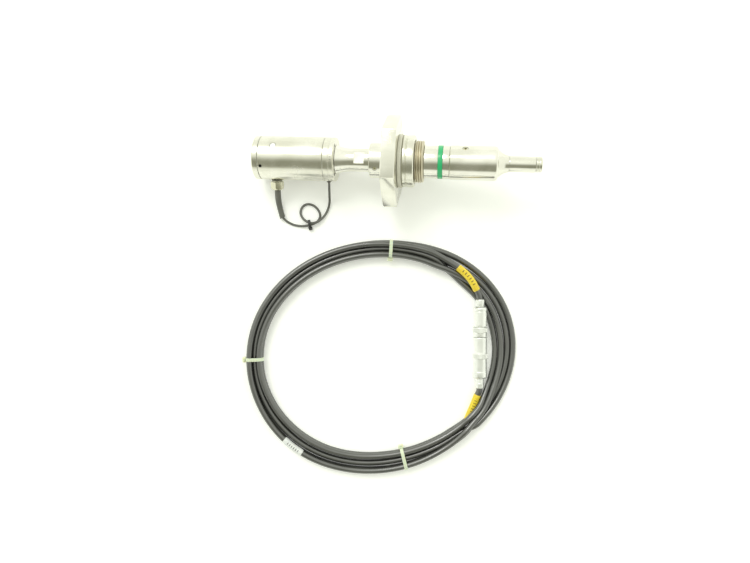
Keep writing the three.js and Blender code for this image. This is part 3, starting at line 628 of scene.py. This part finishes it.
def build_flange():
    gasket = band(HEX_END + GAP, GASKET_END - GAP, FITTING_SLEEVE_R + GAP, FLANGE_R + 0.6)
    on_fitting(lathe("fine_gasket", gasket, 160, 0.5), "gasket", "sealing_gasket")
    ring = [
        (GASKET_END, FITTING_SLEEVE_R + GAP), (GASKET_END, FLANGE_R - 0.9),
        (GASKET_END + 0.9, FLANGE_R), (154.2, FLANGE_R), (154.5, FLANGE_R - 0.6),
        (155.3, FLANGE_R - 0.6), (155.6, FLANGE_R), (FLANGE_END - 0.9, FLANGE_R),
        (FLANGE_END, FLANGE_R - 0.9), (FLANGE_END, THREAD_R + 0.5), (FLANGE_END - 1.2, THREAD_R + 0.5),
        (FLANGE_END - 1.2, FITTING_SLEEVE_R + GAP),
    ]
    on_fitting(lathe("fine_flange", ring, 192, 0.15), "satin_steel", "flange_ring")


def thread_radius(x, angle, start, end):
    """The radius of a thread of 2.31 mm pitch that runs out at both ends."""
    pitch, depth = 2.31, 1.1
    phase = (x / pitch - angle / (2 * math.pi)) % 1.0
    height = min(1.0, max(0.0, 1.35 * (1 - abs(2 * phase - 1) * 1.25)))
    fade = min(1.0, max(0.0, min(x - start, end - x) / 1.2))
    return THREAD_R - depth + depth * height * fade


def build_spigot():
    start = FLANGE_END + GAP
    end = SPIGOT_END - 0.2
    threads = long_side(start + 0.1, end - 0.1, THREAD_R - 1.1, 0.21)
    outline = [
        (HEX_START + GAP, JOURNAL_R + GAP), (HEX_START + GAP, FITTING_SLEEVE_R),
        (start, FITTING_SLEEVE_R), *threads, (end, JOURNAL_R + GAP),
    ]

    def shape(x, r, angle):
        return thread_radius(x, angle, start, end) if r > FITTING_SLEEVE_R + 0.5 else r

    spigot = lathe("fine_spigot", outline, 192, 0, PROBE, shape)
    on_fitting(spigot, "thread_steel", "threaded_spigot", smooth=60)


# ---- Body tube, green band and tip ----
def build_body():
    joint_end = BODY_END + 7.4
    outline = [
        (HEX_START - GAP / 2, 9.6), (HEX_START - GAP / 2, JOURNAL_R),
        *band(151.7, 154.3, JOURNAL_R, 12.2), (SPIGOT_END + 0.1, JOURNAL_R),
        (SPIGOT_END + 0.1, BODY_R - 0.4), *long_side(SPIGOT_END + 0.5, BAND_START - GAP, BODY_R),
        (BAND_START - GAP, BODY_R - 0.7), (BAND_END + GAP, BODY_R - 0.7),
        *long_side(BAND_END + GAP, BODY_END - 0.7, BODY_R), (BODY_END - GAP, BODY_R - 0.4),
        (BODY_END - GAP, TIP_BORE_R - GAP), (joint_end, TIP_BORE_R - GAP), (joint_end, 9.6),
    ]
    on_probe(lathe("fine_body", outline, 160, 0.12), "polished_steel", "body_tube")
    green = band(BAND_START, BAND_END, BODY_R - 0.4, BODY_R + 0.15)
    on_probe(lathe("fine_band", green, 160, 0.16), "green_band", "green_band")


def build_tip():
    bore_end = TIP_SHOULDER - 2.2
    tail_bore = 7.2
    shoulder = []
    for i in range(9):
        angle = math.pi / 2 * i / 8
        shoulder.append((TIP_SHOULDER + 3.4 * math.sin(angle), TIP_R - 3 + 3 * math.cos(angle)))
    cone = []
    for i in range(1, 13):
        t = i / 12
        r = SIGHT_R + 0.4 + (TIP_R - 3 - SIGHT_R - 0.4) * (1 - t) ** 1.7
        cone.append((TIP_SHOULDER + 3.4 + (CONE_END - TIP_SHOULDER - 3.4) * t, r))
    outline = [
        (BODY_END, TIP_BORE_R), (BODY_END, TIP_R - 0.3),
        *long_side(BODY_END + 0.3, TIP_SHOULDER - 0.5, TIP_R), *shoulder, *cone, (CONE_END, tail_bore),
        (bore_end, tail_bore), (bore_end, TIP_BORE_R),
    ]
    housing = shaped(lathe("fine_tip", outline, 192, 0), [side_hole(TIP_SCREW, 10, 20)])
    on_probe(housing, "polished_steel", "tip_housing", smooth=38)
    x, turn, r = TIP_SCREW
    low = TIP_BORE_R + 0.1
    set_screw("fine_tip_screw", low, TIP_R - 0.3, r, side_place(x, turn, low), "tip_set_screw", "nickel")
    tube = [
        (CONE_END - 10, SIGHT_BORE_R), (CONE_END - 10, tail_bore - GAP),
        (CONE_END + GAP, tail_bore - GAP), (CONE_END + GAP, SIGHT_R),
        *long_side(CONE_END + 1, LIP_START - 1, SIGHT_R), (LIP_START - GAP, SIGHT_R),
        (LIP_START - GAP, SIGHT_BORE_R),
    ]
    on_probe(lathe("fine_sight_tube", tube, 128, 0.2), "polished_steel", "sight_tube")
    lip = [
        (LIP_START, SIGHT_BORE_R), (LIP_START, LIP_R - 0.4), (LIP_START + 0.8, LIP_R),
        (LIP_START + 2.6, LIP_R), (LIP_START + 2.9, LIP_R - 0.3), (LIP_START + 3.3, LIP_R),
        (TIP_END - 0.4, LIP_R), (TIP_END, LIP_R - 0.4), (TIP_END, SIGHT_BORE_R + 0.4),
        (TIP_END - 0.4, SIGHT_BORE_R),
    ]
    on_probe(lathe("fine_lip", lip, 128, 0.2), "satin_steel", "sight_tube_lip")


# ---- Side gland ----
GLAND_NUT_AT = HOUSING_R + 2.0
GLAND_NUT_LENGTH = 8.4
GLAND_END = GLAND_NUT_AT + GLAND_NUT_LENGTH


def build_gland():
    x, turn, r = GLAND
    flats = 12
    place = side_place(x, turn, GLAND_NUT_AT)
    nut = prism("fine_gland_nut", 0, GLAND_NUT_LENGTH, flats, place)
    corner = flats / math.sqrt(3)
    blank = [
        (0, 0), (0, flats / 2 + 0.5), (0.6, corner + 0.1), (GLAND_NUT_LENGTH - 2.2, corner + 0.1),
        (GLAND_NUT_LENGTH - 0.8, flats / 2 + 0.1), (GLAND_NUT_LENGTH, flats / 2 - 0.8),
        (GLAND_NUT_LENGTH, 0),
    ]
    shaped(nut, [lathe("blank", blank, 96, 0.1, place)], "INTERSECT")
    shaped(nut, [pin("bore", -1, GLAND_NUT_LENGTH + 1, 3.2, place)])
    on_probe(bevelled(nut, 0.25, 2, 25), "nickel", "gland_nut", smooth=26)
    seal_at = HOUSING_R + 0.4
    seal_place = side_place(x, turn, seal_at - 1.2)
    seal = lathe("fine_gland_seal", band(0, 1.6, r + GAP, 5.6), 96, 0.35, seal_place)
    on_probe(shaped(seal, [pin("housing", 0, 80, HOUSING_R + 0.1, PROBE, 128)]), "seal_rubber", "gland_seal")


# ---- Swept tubes, for what lies on the cords ----
def smooth_path(points, per_span=8):
    """A Catmull-Rom curve through the points."""
    knots = [np.array(p, float) for p in points]
    knots = [2 * knots[0] - knots[1], *knots, 2 * knots[-1] - knots[-2]]
    path = []
    for a, b, c, d in zip(knots, knots[1:], knots[2:], knots[3:]):
        for k in range(per_span):
            t = k / per_span
            square = 2 * a - 5 * b + 4 * c - d
            cube = 3 * b - a - 3 * c + d
            path.append(0.5 * (2 * b + (c - a) * t + square * t**2 + cube * t**3))
    path.append(knots[-2])
    return [Vector(p) for p in path]


def wrapped_faces(rows, columns):
    """The faces of a grid of points that closes on itself both ways."""
    faces = []
    for i in range(rows):
        here = i * columns
        after = (i + 1) % rows * columns
        for k in range(columns):
            turn = (k + 1) % columns
            faces.append((here + k, here + turn, after + turn, after + k))
    return faces


def swept(name, path, radius, inner):
    """A hollow tube along a path. radius(t) is its outer radius at a share of its length."""
    sides = 32
    up = Vector((0, 0, 1))
    rows = []
    for i, here in enumerate(path):
        way = (path[min(i + 1, len(path) - 1)] - path[max(i - 1, 0)]).normalized()
        side = way.cross(up).normalized()
        rows.append((here, side, side.cross(way).normalized()))
    count = len(rows)
    rings = [(i, radius(i / (count - 1))) for i in range(count)]
    rings += [(i, inner) for i in reversed(range(count))]
    points = []
    for i, r in rings:
        here, side, top = rows[i]
        for k in range(sides):
            angle = 2 * math.pi * k / sides
            points.append(here + (side * math.cos(angle) + top * math.sin(angle)) * r)
    obj = object_of(name, points, wrapped_faces(len(rings), sides), Matrix.Identity(4))
    add_tube_uv(obj, rows)
    return obj


def add_tube_uv(obj, rows):
    """UV from the tube's own shape: X along it, Y round it with 0.5 on top."""
    layer = obj.data.uv_layers.new(name="UVMap")
    places = np.array([tuple(row[0]) for row in rows])
    for polygon in obj.data.polygons:
        for loop in polygon.loop_indices:
            point = np.array(obj.data.vertices[obj.data.loops[loop].vertex_index].co) / MM
            i = int(np.argmin(((places - point) ** 2).sum(1)))
            offset = Vector(point) - rows[i][0]
            round_at = math.atan2(offset.dot(rows[i][1]), offset.dot(rows[i][2]))
            layer.data[loop].uv = (i / (len(rows) - 1), 0.5 + round_at / (2 * math.pi))


def curve_of(name, points, diameter, slot):
    """A cord as one smooth curve through points in millimetres, in the row frame."""
    curve = bpy.data.curves.new(name, "CURVE")
    curve.dimensions = "3D"
    spline = curve.splines.new("POLY")
    path = smooth_path(points, 4)
    spline.points.add(len(path) - 1)
    for point, place in zip(spline.points, path):
        point.co = (*(place * MM), 1)
    curve.bevel_depth = diameter / 2 * MM
    curve.bevel_resolution = 5
    curve.use_fill_caps = True
    spline.use_smooth = True
    obj = in_scene(name, curve)
    dress(obj, slot)
    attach(obj, "probe")
    length = sum((b - a).length for a, b in zip(path, path[1:]))
    return obj, path, length


# ---- The thin cord that loops from the gland back into the front ring ----
def place_of(x, turn, distance):
    angle = math.radians(turn)
    local = Vector((x, -distance * math.sin(angle), distance * math.cos(angle))) * MM
    return (PROBE @ local) / MM


SLEEVE_ROUTE = [
    place_of(GLAND[0], GLAND[1], GLAND_END + GAP), place_of(GLAND[0], GLAND[1], GLAND_END + 5),
    (-118.6, -42.4, 6.9), (-116.8, -50.2, 4.4), (-114.6, -57.2, 3.4),
]
PIGTAIL_ROUTE = [
    (-113.8, -58.8, 3.2), (-111.4, -61.0, 2.0), (-107.8, -63.4, 1.5), (-103.0, -65.4, 1.4),
    (-98.0, -66.3, 1.5), (-92.4, -66.4, 1.9), (-86.1, -65.2, 2.2), (-79.8, -62.6, 1.9),
    (-75.9, -58.6, 1.4), (-75.0, -53.3, 1.4), (-77.9, -47.8, 1.4), (-83.0, -43.9, 1.4),
    (-88.8, -43.1, 1.4), (-93.4, -45.5, 1.4), (-95.6, -50.2, 1.4), (-94.9, -55.3, 1.8),
    (-91.5, -59.6, 3.2), (-86.0, -62.7, 5.0), (-79.9, -62.6, 5.0), (-74.3, -59.3, 4.0),
    (-69.7, -53.6, 2.4), (-66.7, -46.6, 1.8), (-65.5, -39.9, 3.6), (-65.5, -33.4, 10.0),
    place_of(ENTRY[0], ENTRY[1], HOUSING_R + 1.2),
]


def build_pigtail():
    inside_ring = place_of(ENTRY[0], ENTRY[1], HOUSING_R - 1.2)
    route = [*SLEEVE_ROUTE, *PIGTAIL_ROUTE[1:], inside_ring]
    cord, path, length = curve_of("pigtail", route, CORD_D, "cord_black")
    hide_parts("pigtail_cord")

    def heat_shrink(t):
        neck = 1 - 0.1 * ease((t - 0.3) / 0.4)
        flare = 0.25 * ease((t - 0.86) / 0.08)
        end = 0.9 * ease((t - 0.96) / 0.04)
        return 3.2 * neck + flare - end

    sleeve_path = smooth_path([*SLEEVE_ROUTE, PIGTAIL_ROUTE[0]], 8)
    sleeve = swept("fine_heat_shrink", sleeve_path, heat_shrink, CORD_D / 2 + 0.05)
    on_probe(sleeve, "cord_black", "heat_shrink_sleeve", smooth=50)

    x, turn, r = ENTRY
    lip = [(0, 1.45), (0, r), (1.9, r), (2.4, r + 0.5), (2.9, r + 0.4), (3.1, r - 0.2), (3.0, 1.45)]
    grommet = lathe("fine_grommet", lip, 64, 0.2, side_place(x, turn, HOUSING_R - 2.1))
    on_probe(grommet, "seal_rubber", "entry_grommet", smooth=60)

    place = Matrix.Translation(Vector((-85.4, -63.6, 3.9)) * MM) @ Matrix.Rotation(0.24, 4, "Z")
    tie = strap("fine_pigtail_tie", 6.9, 7.1, 2.4, 0.55, place, head=(-1, 3.4, 3.8, 3.4, -1.4))
    on_probe(tie, "black_plastic", "pigtail_tie", smooth=40)


def strap(name, width, height, breadth, wall, place, head):
    """A tie's band round a bundle, in the YZ plane, with its head and the cut end of its tail."""
    corner = min(width, height) * 0.42
    loop = []
    for cy, cz, start in ((1, 1, 0), (-1, 1, 90), (-1, -1, 180), (1, -1, 270)):
        for k in range(7):
            angle = math.radians(start + 15 * k)
            y = cy * (width / 2 - corner) + corner * math.cos(angle)
            z = cz * (height / 2 - corner) + corner * math.sin(angle)
            loop.append((y, z, math.cos(angle), math.sin(angle)))
    points = []
    for y, z, ny, nz in loop:
        for x, out in ((-1, 0), (-1, 1), (1, 1), (1, 0)):
            points.append((x * breadth / 2, y + ny * wall * out, z + nz * wall * out))
    around = object_of(name, points, wrapped_faces(len(loop), 4), place)
    side, deep, wide, tall, at = head
    near = side * (width / 2 - 0.1)
    far = side * (width / 2 + wall + deep - 0.6)
    low, high = sorted((near, far))
    lock = block(name + "_head", (-wide / 2, low, at - tall / 2), (wide / 2, high, at + tall / 2), place)
    bevelled(lock, 0.45, 3)
    middle = (near + far) / 2
    half = breadth * 0.36
    slit = block("slit", (-half, middle - wall, at), (half, middle + wall, at + tall), place)
    shaped(lock, [slit])
    half = breadth * 0.35
    thick = wall * 0.6
    low = (-half, middle - thick, at - 0.5)
    high = (half, middle + thick, at + tall / 2 + 1.6)
    tail = block(name + "_tail", low, high, place)
    return joined(bevelled(around, 0.15, 1), [lock, bevelled(tail, 0.12, 1)])


def joined(obj, others):
    """Puts other objects' meshes into obj's mesh."""
    shape = bmesh.new()
    shape.from_mesh(obj.data)
    for other in others:
        mesh = other.data.copy()
        mesh.transform(obj.matrix_world.inverted() @ other.matrix_world)
        shape.from_mesh(mesh)
        bpy.data.objects.remove(other, do_unlink=True)
    shape.to_mesh(obj.data)
    shape.free()
    return obj


# ---- The coiled lead ----
# Its own frame is turned a little from the row's: x and y below are in that frame, in millimetres.
LEAD_TURN = math.radians(2.9)
LEAD = Matrix.Translation((-0.002, -0.2006, 0)) @ Matrix.Rotation(LEAD_TURN, 4, "Z")
OVAL = {"y": 1.35, "a": 132.6, "b": 112.95}
LEAD_R = LEAD_D / 2
# The coil's band round that oval: an angle from the long axis, then how far outwards its edges lie.
BAND = [
    (-180, -7.2, 9.0), (-160, -7.2, 10.6), (-140, -6.6, 13.8), (-128, -6.5, 15.2), (-115, -6.8, 14.2),
    (-100, -10.0, 11.4), (-90, -12.8, 8.9), (-80, -14.9, 6.4), (-65, -16.2, 2.6), (-50, -16.3, -0.4),
    (-40, -16.6, -1.0), (-30, -17.6, 0.0), (-20, -18.7, 1.7), (-10, -18.5, 4.4), (0, -17.2, 7.2),
    (10, -15.8, 9.8), (20, -14.2, 12.2), (30, -12.4, 14.0), (40, -11.0, 15.0), (50, -10.2, 15.0),
    (60, -9.6, 14.0), (70, -9.1, 11.8), (80, -8.7, 9.2), (90, -8.7, 8.7), (110, -9.0, 8.2),
    (135, -8.8, 8.3), (160, -7.8, 8.7),
]
# A turn's place in the band: 0 at its inner edge to 1 at its outer one, and its height.
# Turn k lies in TRACKS[k], and passes the connectors at LOOSE[k] before it takes the next track.
TRACKS = [(1.0, 9.4), (0.0, 9.4), (0.5, 6.3), (1.0, 3.2), (0.0, 3.2)]
LOOSE = [(0.33, 5.4), (0.0, 3.6), (1.0, 3.2), (0.72, 3.2)]
# The turns' path in degrees from the plug's marker round to the socket's, and its step.
STEP = 5
FIRST = 64
LAST = 4 * 360 + 304
# Each tie: its angle, which side its head is on, its middle's distance outwards, its width and its skew.
TIES = {
    "coil_tie_top": (86, -1, 0.1, 18.4, 0),
    "coil_tie_left": (181.5, 1, 0.9, 17.6, 0),
    "coil_tie_bottom": (-79.8, -1, -4.3, 22.6, 5.4),
}
WHITE_AT = 232.6
PLUG_TAIL = [(102.0, 61.2, 11.0), (101.6, 64.2, 11.2)]
PLUG_SLEEVE = [(99.0, 70.6, 11.4), (94.0, 79.7, 11.6), (87.6, 87.7, 11.3), (79.3, 94.8, 10.6)]
SOCKET_SLEEVE = [(100.2, -38.8, 6.8), (97.3, -47.0, 5.6), (93.8, -55.9, 4.6), (89.8, -65.5, 4.0)]
SOCKET_TAIL = [(101.8, -35.4, 7.3), (102.0, -32.2, 7.4)]
# The connectors' axis in this frame, and the room that their shells, their nuts and a marker need.
AXIS = {"x": 102.0, "y": -32, "z": 7.4, "rise": 0.0384}
SHELL_STATIONS = np.arange(-21, 53, 3.0)
NUT_STATIONS = (-31, -28, -25, 54, 57, 60)
SHELL_ROOM = 7.7
NUT_ROOM = 4.7
MARKER_ROOM = LEAD_R + 0.75
# How often the turns move, and how fast towards their tracks, towards a smooth line and downwards.
ROUNDS = 300
PULL = 0.06
SMOOTHING = 0.2
SINKING = 0.03


def lead_point(point):
    return (LEAD @ (Vector(point) * MM)) / MM


def oval_place(degrees):
    """The oval's line at an angle, and the way outwards there."""
    angle = math.radians(degrees)
    point = np.array([OVAL["a"] * math.cos(angle), OVAL["y"] + OVAL["b"] * math.sin(angle), 0.0])
    out = np.array([math.cos(angle) * OVAL["b"], math.sin(angle) * OVAL["a"], 0.0])
    return point, out / np.linalg.norm(out)


def across(degrees, share):
    """How far outwards a turn lies that is at this share of the band's breadth."""
    at, inner, outer = zip(*BAND)
    low = np.interp(degrees, at, inner, period=360) + LEAD_R
    high = np.interp(degrees, at, outer, period=360) - LEAD_R
    return low + share * (high - low)


def ease(t):
    t = min(1.0, max(0.0, t))
    return t * t * (3 - 2 * t)


def wanted(degrees):
    """Where a turn would lie at an angle: in its track, or loose where it changes track on the right."""
    turns, here = divmod(degrees + 180, 360)
    here -= 180
    crossing = int(turns) - 1
    if crossing < 0:
        share, height = TRACKS[0]
        share -= 0.45 * (1 - ease((degrees - 58) / 40))
    elif crossing >= len(LOOSE):
        share, height = TRACKS[-1]
    else:
        before, after, loose = TRACKS[crossing], TRACKS[crossing + 1], LOOSE[crossing]
        if here < 0:
            (share, height), (end, fall) = before, loose
            share += (end - share) * ease((here + 72) / 52)
            height += (fall - height) * ease((here + 52) / 40)
        else:
            (share, height), (end, fall) = loose, after
            t = ease((here - 40) / 40)
            share += (end - share) * t
            height += (fall - height) * t
    return np.array([across(here, share), height])


def tie_nearness(degrees):
    """1 at a tie, falling to 0 away from it."""
    gaps = [abs((degrees - tie[0] + 180) % 360 - 180) for tie in TIES.values()]
    return 1 - ease(min(gaps) / 22)


def axis_point(y):
    return AXIS["x"], y, AXIS["z"] + (y - AXIS["y"]) * AXIS["rise"]


def settled_turns():
    """The coil's turns, in millimetres in the lead's frame, pushed apart from each other and from the
    sleeves and connectors over a set number of rounds.
    """
    angles = np.arange(FIRST, LAST + 1, STEP)
    target = np.array([wanted(a) for a in angles])
    floor = np.array([LEAD_R + 0.05 + 1.5 * tie_nearness(a) for a in angles])
    places = [oval_place(a) for a in angles]
    base = np.array([p for p, out in places])
    outs = np.array([out for p, out in places])
    # What the turns keep clear of: the marker sleeves and the connectors, each with its room.
    sleeves = smooth_path([*PLUG_TAIL, *PLUG_SLEEVE], 4) + smooth_path(SOCKET_SLEEVE, 4)
    shells = [axis_point(y) for y in SHELL_STATIONS]
    nuts = [axis_point(y) for y in NUT_STATIONS]
    fixed = np.array([tuple(p) for p in sleeves] + shells + nuts)
    rooms = [MARKER_ROOM] * len(sleeves) + [SHELL_ROOM] * len(shells) + [NUT_ROOM] * len(nuts)
    room = LEAD_R + np.array(rooms)
    state = target.copy()
    per_turn = 360 // STEP
    count = len(angles)
    free = np.ones(count, bool)
    free[:2] = free[-2:] = False
    for _ in range(ROUNDS):
        move = (target - state) * PULL
        move[1:-1] += (state[:-2] + state[2:] - 2 * state[1:-1]) * SMOOTHING
        move[:, 1] -= SINKING
        state[free] += move[free]
        for lag in range(per_turn, count, per_turn):
            gap = state[lag:] - state[:-lag]
            distance = np.maximum(np.linalg.norm(gap, axis=1), 1e-6)
            push = np.maximum(0, LEAD_D + 0.05 - distance)[:, None] * gap / distance[:, None] / 2
            state[lag:] += push
            state[:-lag] -= push
        points = base + outs * state[:, :1]
        points[:, 2] = state[:, 1]
        away = points[:, None] - fixed[None]
        distance = np.linalg.norm(away, axis=2)
        short = np.maximum(0, room - distance)
        for i in np.flatnonzero((short > 0).any(1)):
            k = int(np.argmax(short[i]))
            way = away[i, k] / distance[i, k]
            state[i, 0] += short[i, k] * way.dot(outs[i])
            state[i, 1] += short[i, k] * way[2]
        state[:, 1] = np.maximum(state[:, 1], floor)
    points = base + outs * state[:, :1]
    points[:, 2] = state[:, 1]
    return points


def build_lead():
    turns = settled_turns()
    route = [*SOCKET_TAIL[::-1], *SOCKET_SLEEVE, *turns[::-1], *PLUG_SLEEVE[::-1], *PLUG_TAIL[::-1]]
    lead, path, length = curve_of("lead", [tuple(lead_point(p)) for p in route], LEAD_D, "lead_jacket")
    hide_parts("lead_coil", "lead_end_plug", "lead_end_socket")
    pieces = [*build_connectors(), *build_sleeves(turns)]
    for name, tie in TIES.items():
        pieces.append(build_coil_tie(name, *tie))
    print("lead length", round(length), "mm")


def build_coil_tie(name, at, side, middle, width, skew):
    point, out = oval_place(at)
    point = point + out * middle
    facing = math.atan2(out[1], out[0]) + math.radians(skew)
    height = 2 * LEAD_D
    place = (
        LEAD
        @ Matrix.Translation(Vector((point[0], point[1], height / 2 + 1.35)) * MM)
        @ Matrix.Rotation(facing - math.pi / 2, 4, "Z")
    )
    tie = strap("fine_" + name, width - 0.6, height + 0.4, 3.5, 1.0, place, (side, 3.6, 5.6, 5.2, 0))
    return on_probe(tie, "natural_nylon", name, smooth=40)


def build_sleeves(turns):
    """The slip-on marker sleeves: two yellow and one white."""
    def sleeve(name, points, r, slot, node):
        path = [lead_point(p) for p in smooth_path(points, 8)]

        def outer(t):
            return r - 0.35 * (1 - ease(min(t, 1 - t) / 0.03))

        obj = swept(name, path, outer, LEAD_R + 0.1)
        return on_probe(obj, slot, node, smooth=60)

    def off_white(point):
        """Degrees from the white marker's place, about the origin of the lead's frame."""
        return abs((math.degrees(math.atan2(point[1], point[0])) - WHITE_AT + 540) % 360 - 180)

    here = [p for p in turns if off_white(p) < 9]
    radii = [math.hypot(p[0], p[1]) + p[2] * 0.5 for p in here]
    best = here[int(np.argmax(radii))]
    nearest = int(np.argmin(((turns - best) ** 2).sum(1)))
    middle = turns[nearest - 1 : nearest + 2]
    return [
        sleeve("fine_yellow_plug", PLUG_SLEEVE, LEAD_R + 0.7, "yellow_sleeve", "yellow_marker_plug"),
        sleeve("fine_yellow_socket", SOCKET_SLEEVE, LEAD_R + 0.7, "yellow_sleeve", "yellow_marker_socket"),
        sleeve("fine_white", middle, LEAD_R + 0.45, "white_sleeve", "white_marker"),
    ]


# ---- The mated connectors ----
CONNECTOR_LENGTH = 93.2
CONNECTOR_R = 7.2
CONNECTOR_FALL = math.radians(2.2)
CONNECTOR = (
    Matrix.Translation(Vector((97.1, -134.2, 11)) * MM)
    @ Matrix.Rotation(LEAD_TURN - math.pi / 2, 4, "Z")
    @ Matrix.Rotation(CONNECTOR_FALL, 4, "Y")
)


def ribbed(start, end, count, depth):
    """Straight ribs along a turned piece, between two stations."""
    def shape(x, r, angle):
        if not start <= x <= end or r < 5:
            return r
        phase = (angle * count / (2 * math.pi)) % 1.0
        return r - depth * (1 - abs(2 * phase - 1))

    return shape


def build_connectors():
    cr = CONNECTOR_R
    pieces = []

    def piece(name, outline, node, body="probe", shape=None, sides=112):
        obj = lathe(name, outline, sides, 0.25, CONNECTOR, shape)
        pieces.append(placed(obj, "matte_chrome", body, node, smooth=35))

    def collet(name, start, end, node):
        """A slim nut with two spanner flats and a soft end."""
        out, back = (start, end) if start < 50 else (end, start)
        way = 1 if back > out else -1
        outline = [
            (out, 3.5), (out, 4.0), (out + way * 0.9, 4.5), (out + way * 5.2, 4.5),
            (out + way * 5.6, 4.15), (back, 4.15), (back, 3.5),
        ]
        nut = lathe(name, outline, 96, 0.2, CONNECTOR)
        low, high = sorted((out + way * 1.2, out + way * 4.6))
        flats = []
        for middle in (5.1, -5.1):
            flats.append(block("flat", (low, -6, middle - 1), (high, 6, middle + 1), CONNECTOR))
        pieces.append(placed(shaped(nut, flats), "matte_chrome", "probe", node, smooth=28))

    collet("fine_plug_collet", 0, 7.6, "plug_collet_nut")
    shell = [
        (8, 3.5), (8, cr - 1), (9.2, cr), (11.6, cr), (11.9, cr - 0.35), (12.5, cr - 0.35), (12.8, cr),
        *long_side(13, 28, cr, 3), (28, 5.6), (36, 5.6), (36, 4.6), (9.5, 4.6), (9.5, 3.5),
    ]
    piece("fine_plug_shell", shell, "plug_shell")
    latch = [
        (29.3, 6), (29.3, cr + 0.2), (29.7, cr + 0.4), *long_side(30, 34, cr + 0.4, 1),
        (34.4, cr + 0.2), (34.8, cr), (39, cr), (39, 6),
    ]
    piece("fine_latch", latch, "latch_sleeve", "plug_latch", ribbed(29.9, 34.1, 56, 0.3), 224)
    socket = [
        (39.4, 4.8), (39.4, cr - 0.3), (40, cr), *long_side(41, 56.2, cr, 3), (56.6, cr + 0.6),
        *long_side(57, 61.2, cr + 0.6, 1), (61.6, cr + 0.6), (62, cr), *long_side(63, 75.4, cr, 3),
        (75.8, cr + 0.3), (81, cr + 0.3), (82.4, cr - 1), (82.4, 3.5), (80, 3.5), (80, 4.8),
    ]
    grip = ribbed(56.9, 61.3, 56, 0.28)
    piece("fine_socket_shell", socket, "socket_shell", shape=grip, sides=224)
    collet("fine_socket_collet", 83, CONNECTOR_LENGTH, "socket_collet_nut")
    return pieces


# ---- Build ----
build_cap()
build_receptacle()
build_sleeve()
build_ring()
build_neck()
build_collar()
build_hexagon()
build_flange()
build_spigot()
build_body()
build_tip()
build_gland()
build_pigtail()
build_lead()


# ---- Table, light and camera ----
def build_stage():
    mesh = bpy.data.meshes.new("table")
    reach = 6.0
    corners = [(-reach, -reach, 0), (reach, -reach, 0), (reach, reach, 0), (-reach, reach, 0)]
    mesh.from_pydata(corners, [], [(0, 1, 2, 3)])
    table = in_scene("table", mesh)
    glow = {"Emission_Color": (1, 1, 0.98, 1), "Emission_Strength": 0.2}
    look = Look("table_paper", roughness=0.9, Specular_IOR_Level=0.1, **glow)
    look.colour(look.noise(40, detail=4), [(0.3, (0.93, 0.945, 0.92)), (0.7, (0.95, 0.96, 0.94))])
    mesh.materials.append(look.material)


def build_world():
    """A bright tent of light with one darker patch overhead, from straight up towards -Y."""
    world = bpy.data.worlds.new("tent")
    bpy.context.scene.world = world
    world.use_nodes = True
    tree = world.node_tree
    background = tree.nodes["Background"]
    place = add_node(tree, "TexCoord", {}).outputs["Generated"]
    split = add_node(tree, "SeparateXYZ", {"Vector": place})
    lean = maths(tree, "ARCTAN2", maths(tree, "MULTIPLY", split.outputs["Y"], -1), split.outputs["Z"])
    degree = math.radians(1)
    start = smooth_step(tree, lean, -8 * degree, 30 * degree)
    end = smooth_step(tree, lean, 70 * degree, 62 * degree)
    edge = smooth_step(tree, maths(tree, "ABSOLUTE", split.outputs["X"]), 0.8, 0.6)
    patch = maths(tree, "MULTIPLY", maths(tree, "MULTIPLY", start, end), edge)
    inputs = {"Factor": patch, 6: (0.94, 0.96, 0.86, 1), 7: (0.27, 0.275, 0.21, 1)}
    mix = add_node(tree, "Mix", inputs, data_type="RGBA")
    tree.links.new(mix.outputs[2], background.inputs["Color"])
    background.inputs["Strength"].default_value = 1.22


def build_light():
    lamp = bpy.data.lights.new("soft", "SUN")
    lamp.energy = 0.9
    lamp.angle = math.radians(24)
    lamp.color = (1.0, 1.0, 0.97)
    obj = in_scene("soft", lamp)
    obj.rotation_euler = Vector((-0.55, 0.75, 1.2)).to_track_quat("Z", "Y").to_euler()


def build_camera():
    data = bpy.data.cameras.new("camera")
    data.sensor_width = 36
    data.lens = 31.92
    data.clip_start = 0.01
    camera = in_scene("camera", data)
    camera.location = (-0.0134, -0.1211, 0.705)
    camera.rotation_euler = (0, 0, math.radians(2.9))
    bpy.context.scene.camera = camera
    bpy.context.scene.view_settings.view_transform = "Standard"


build_stage()
build_world()
build_light()
build_camera()

bpy.context.view_layer.update()
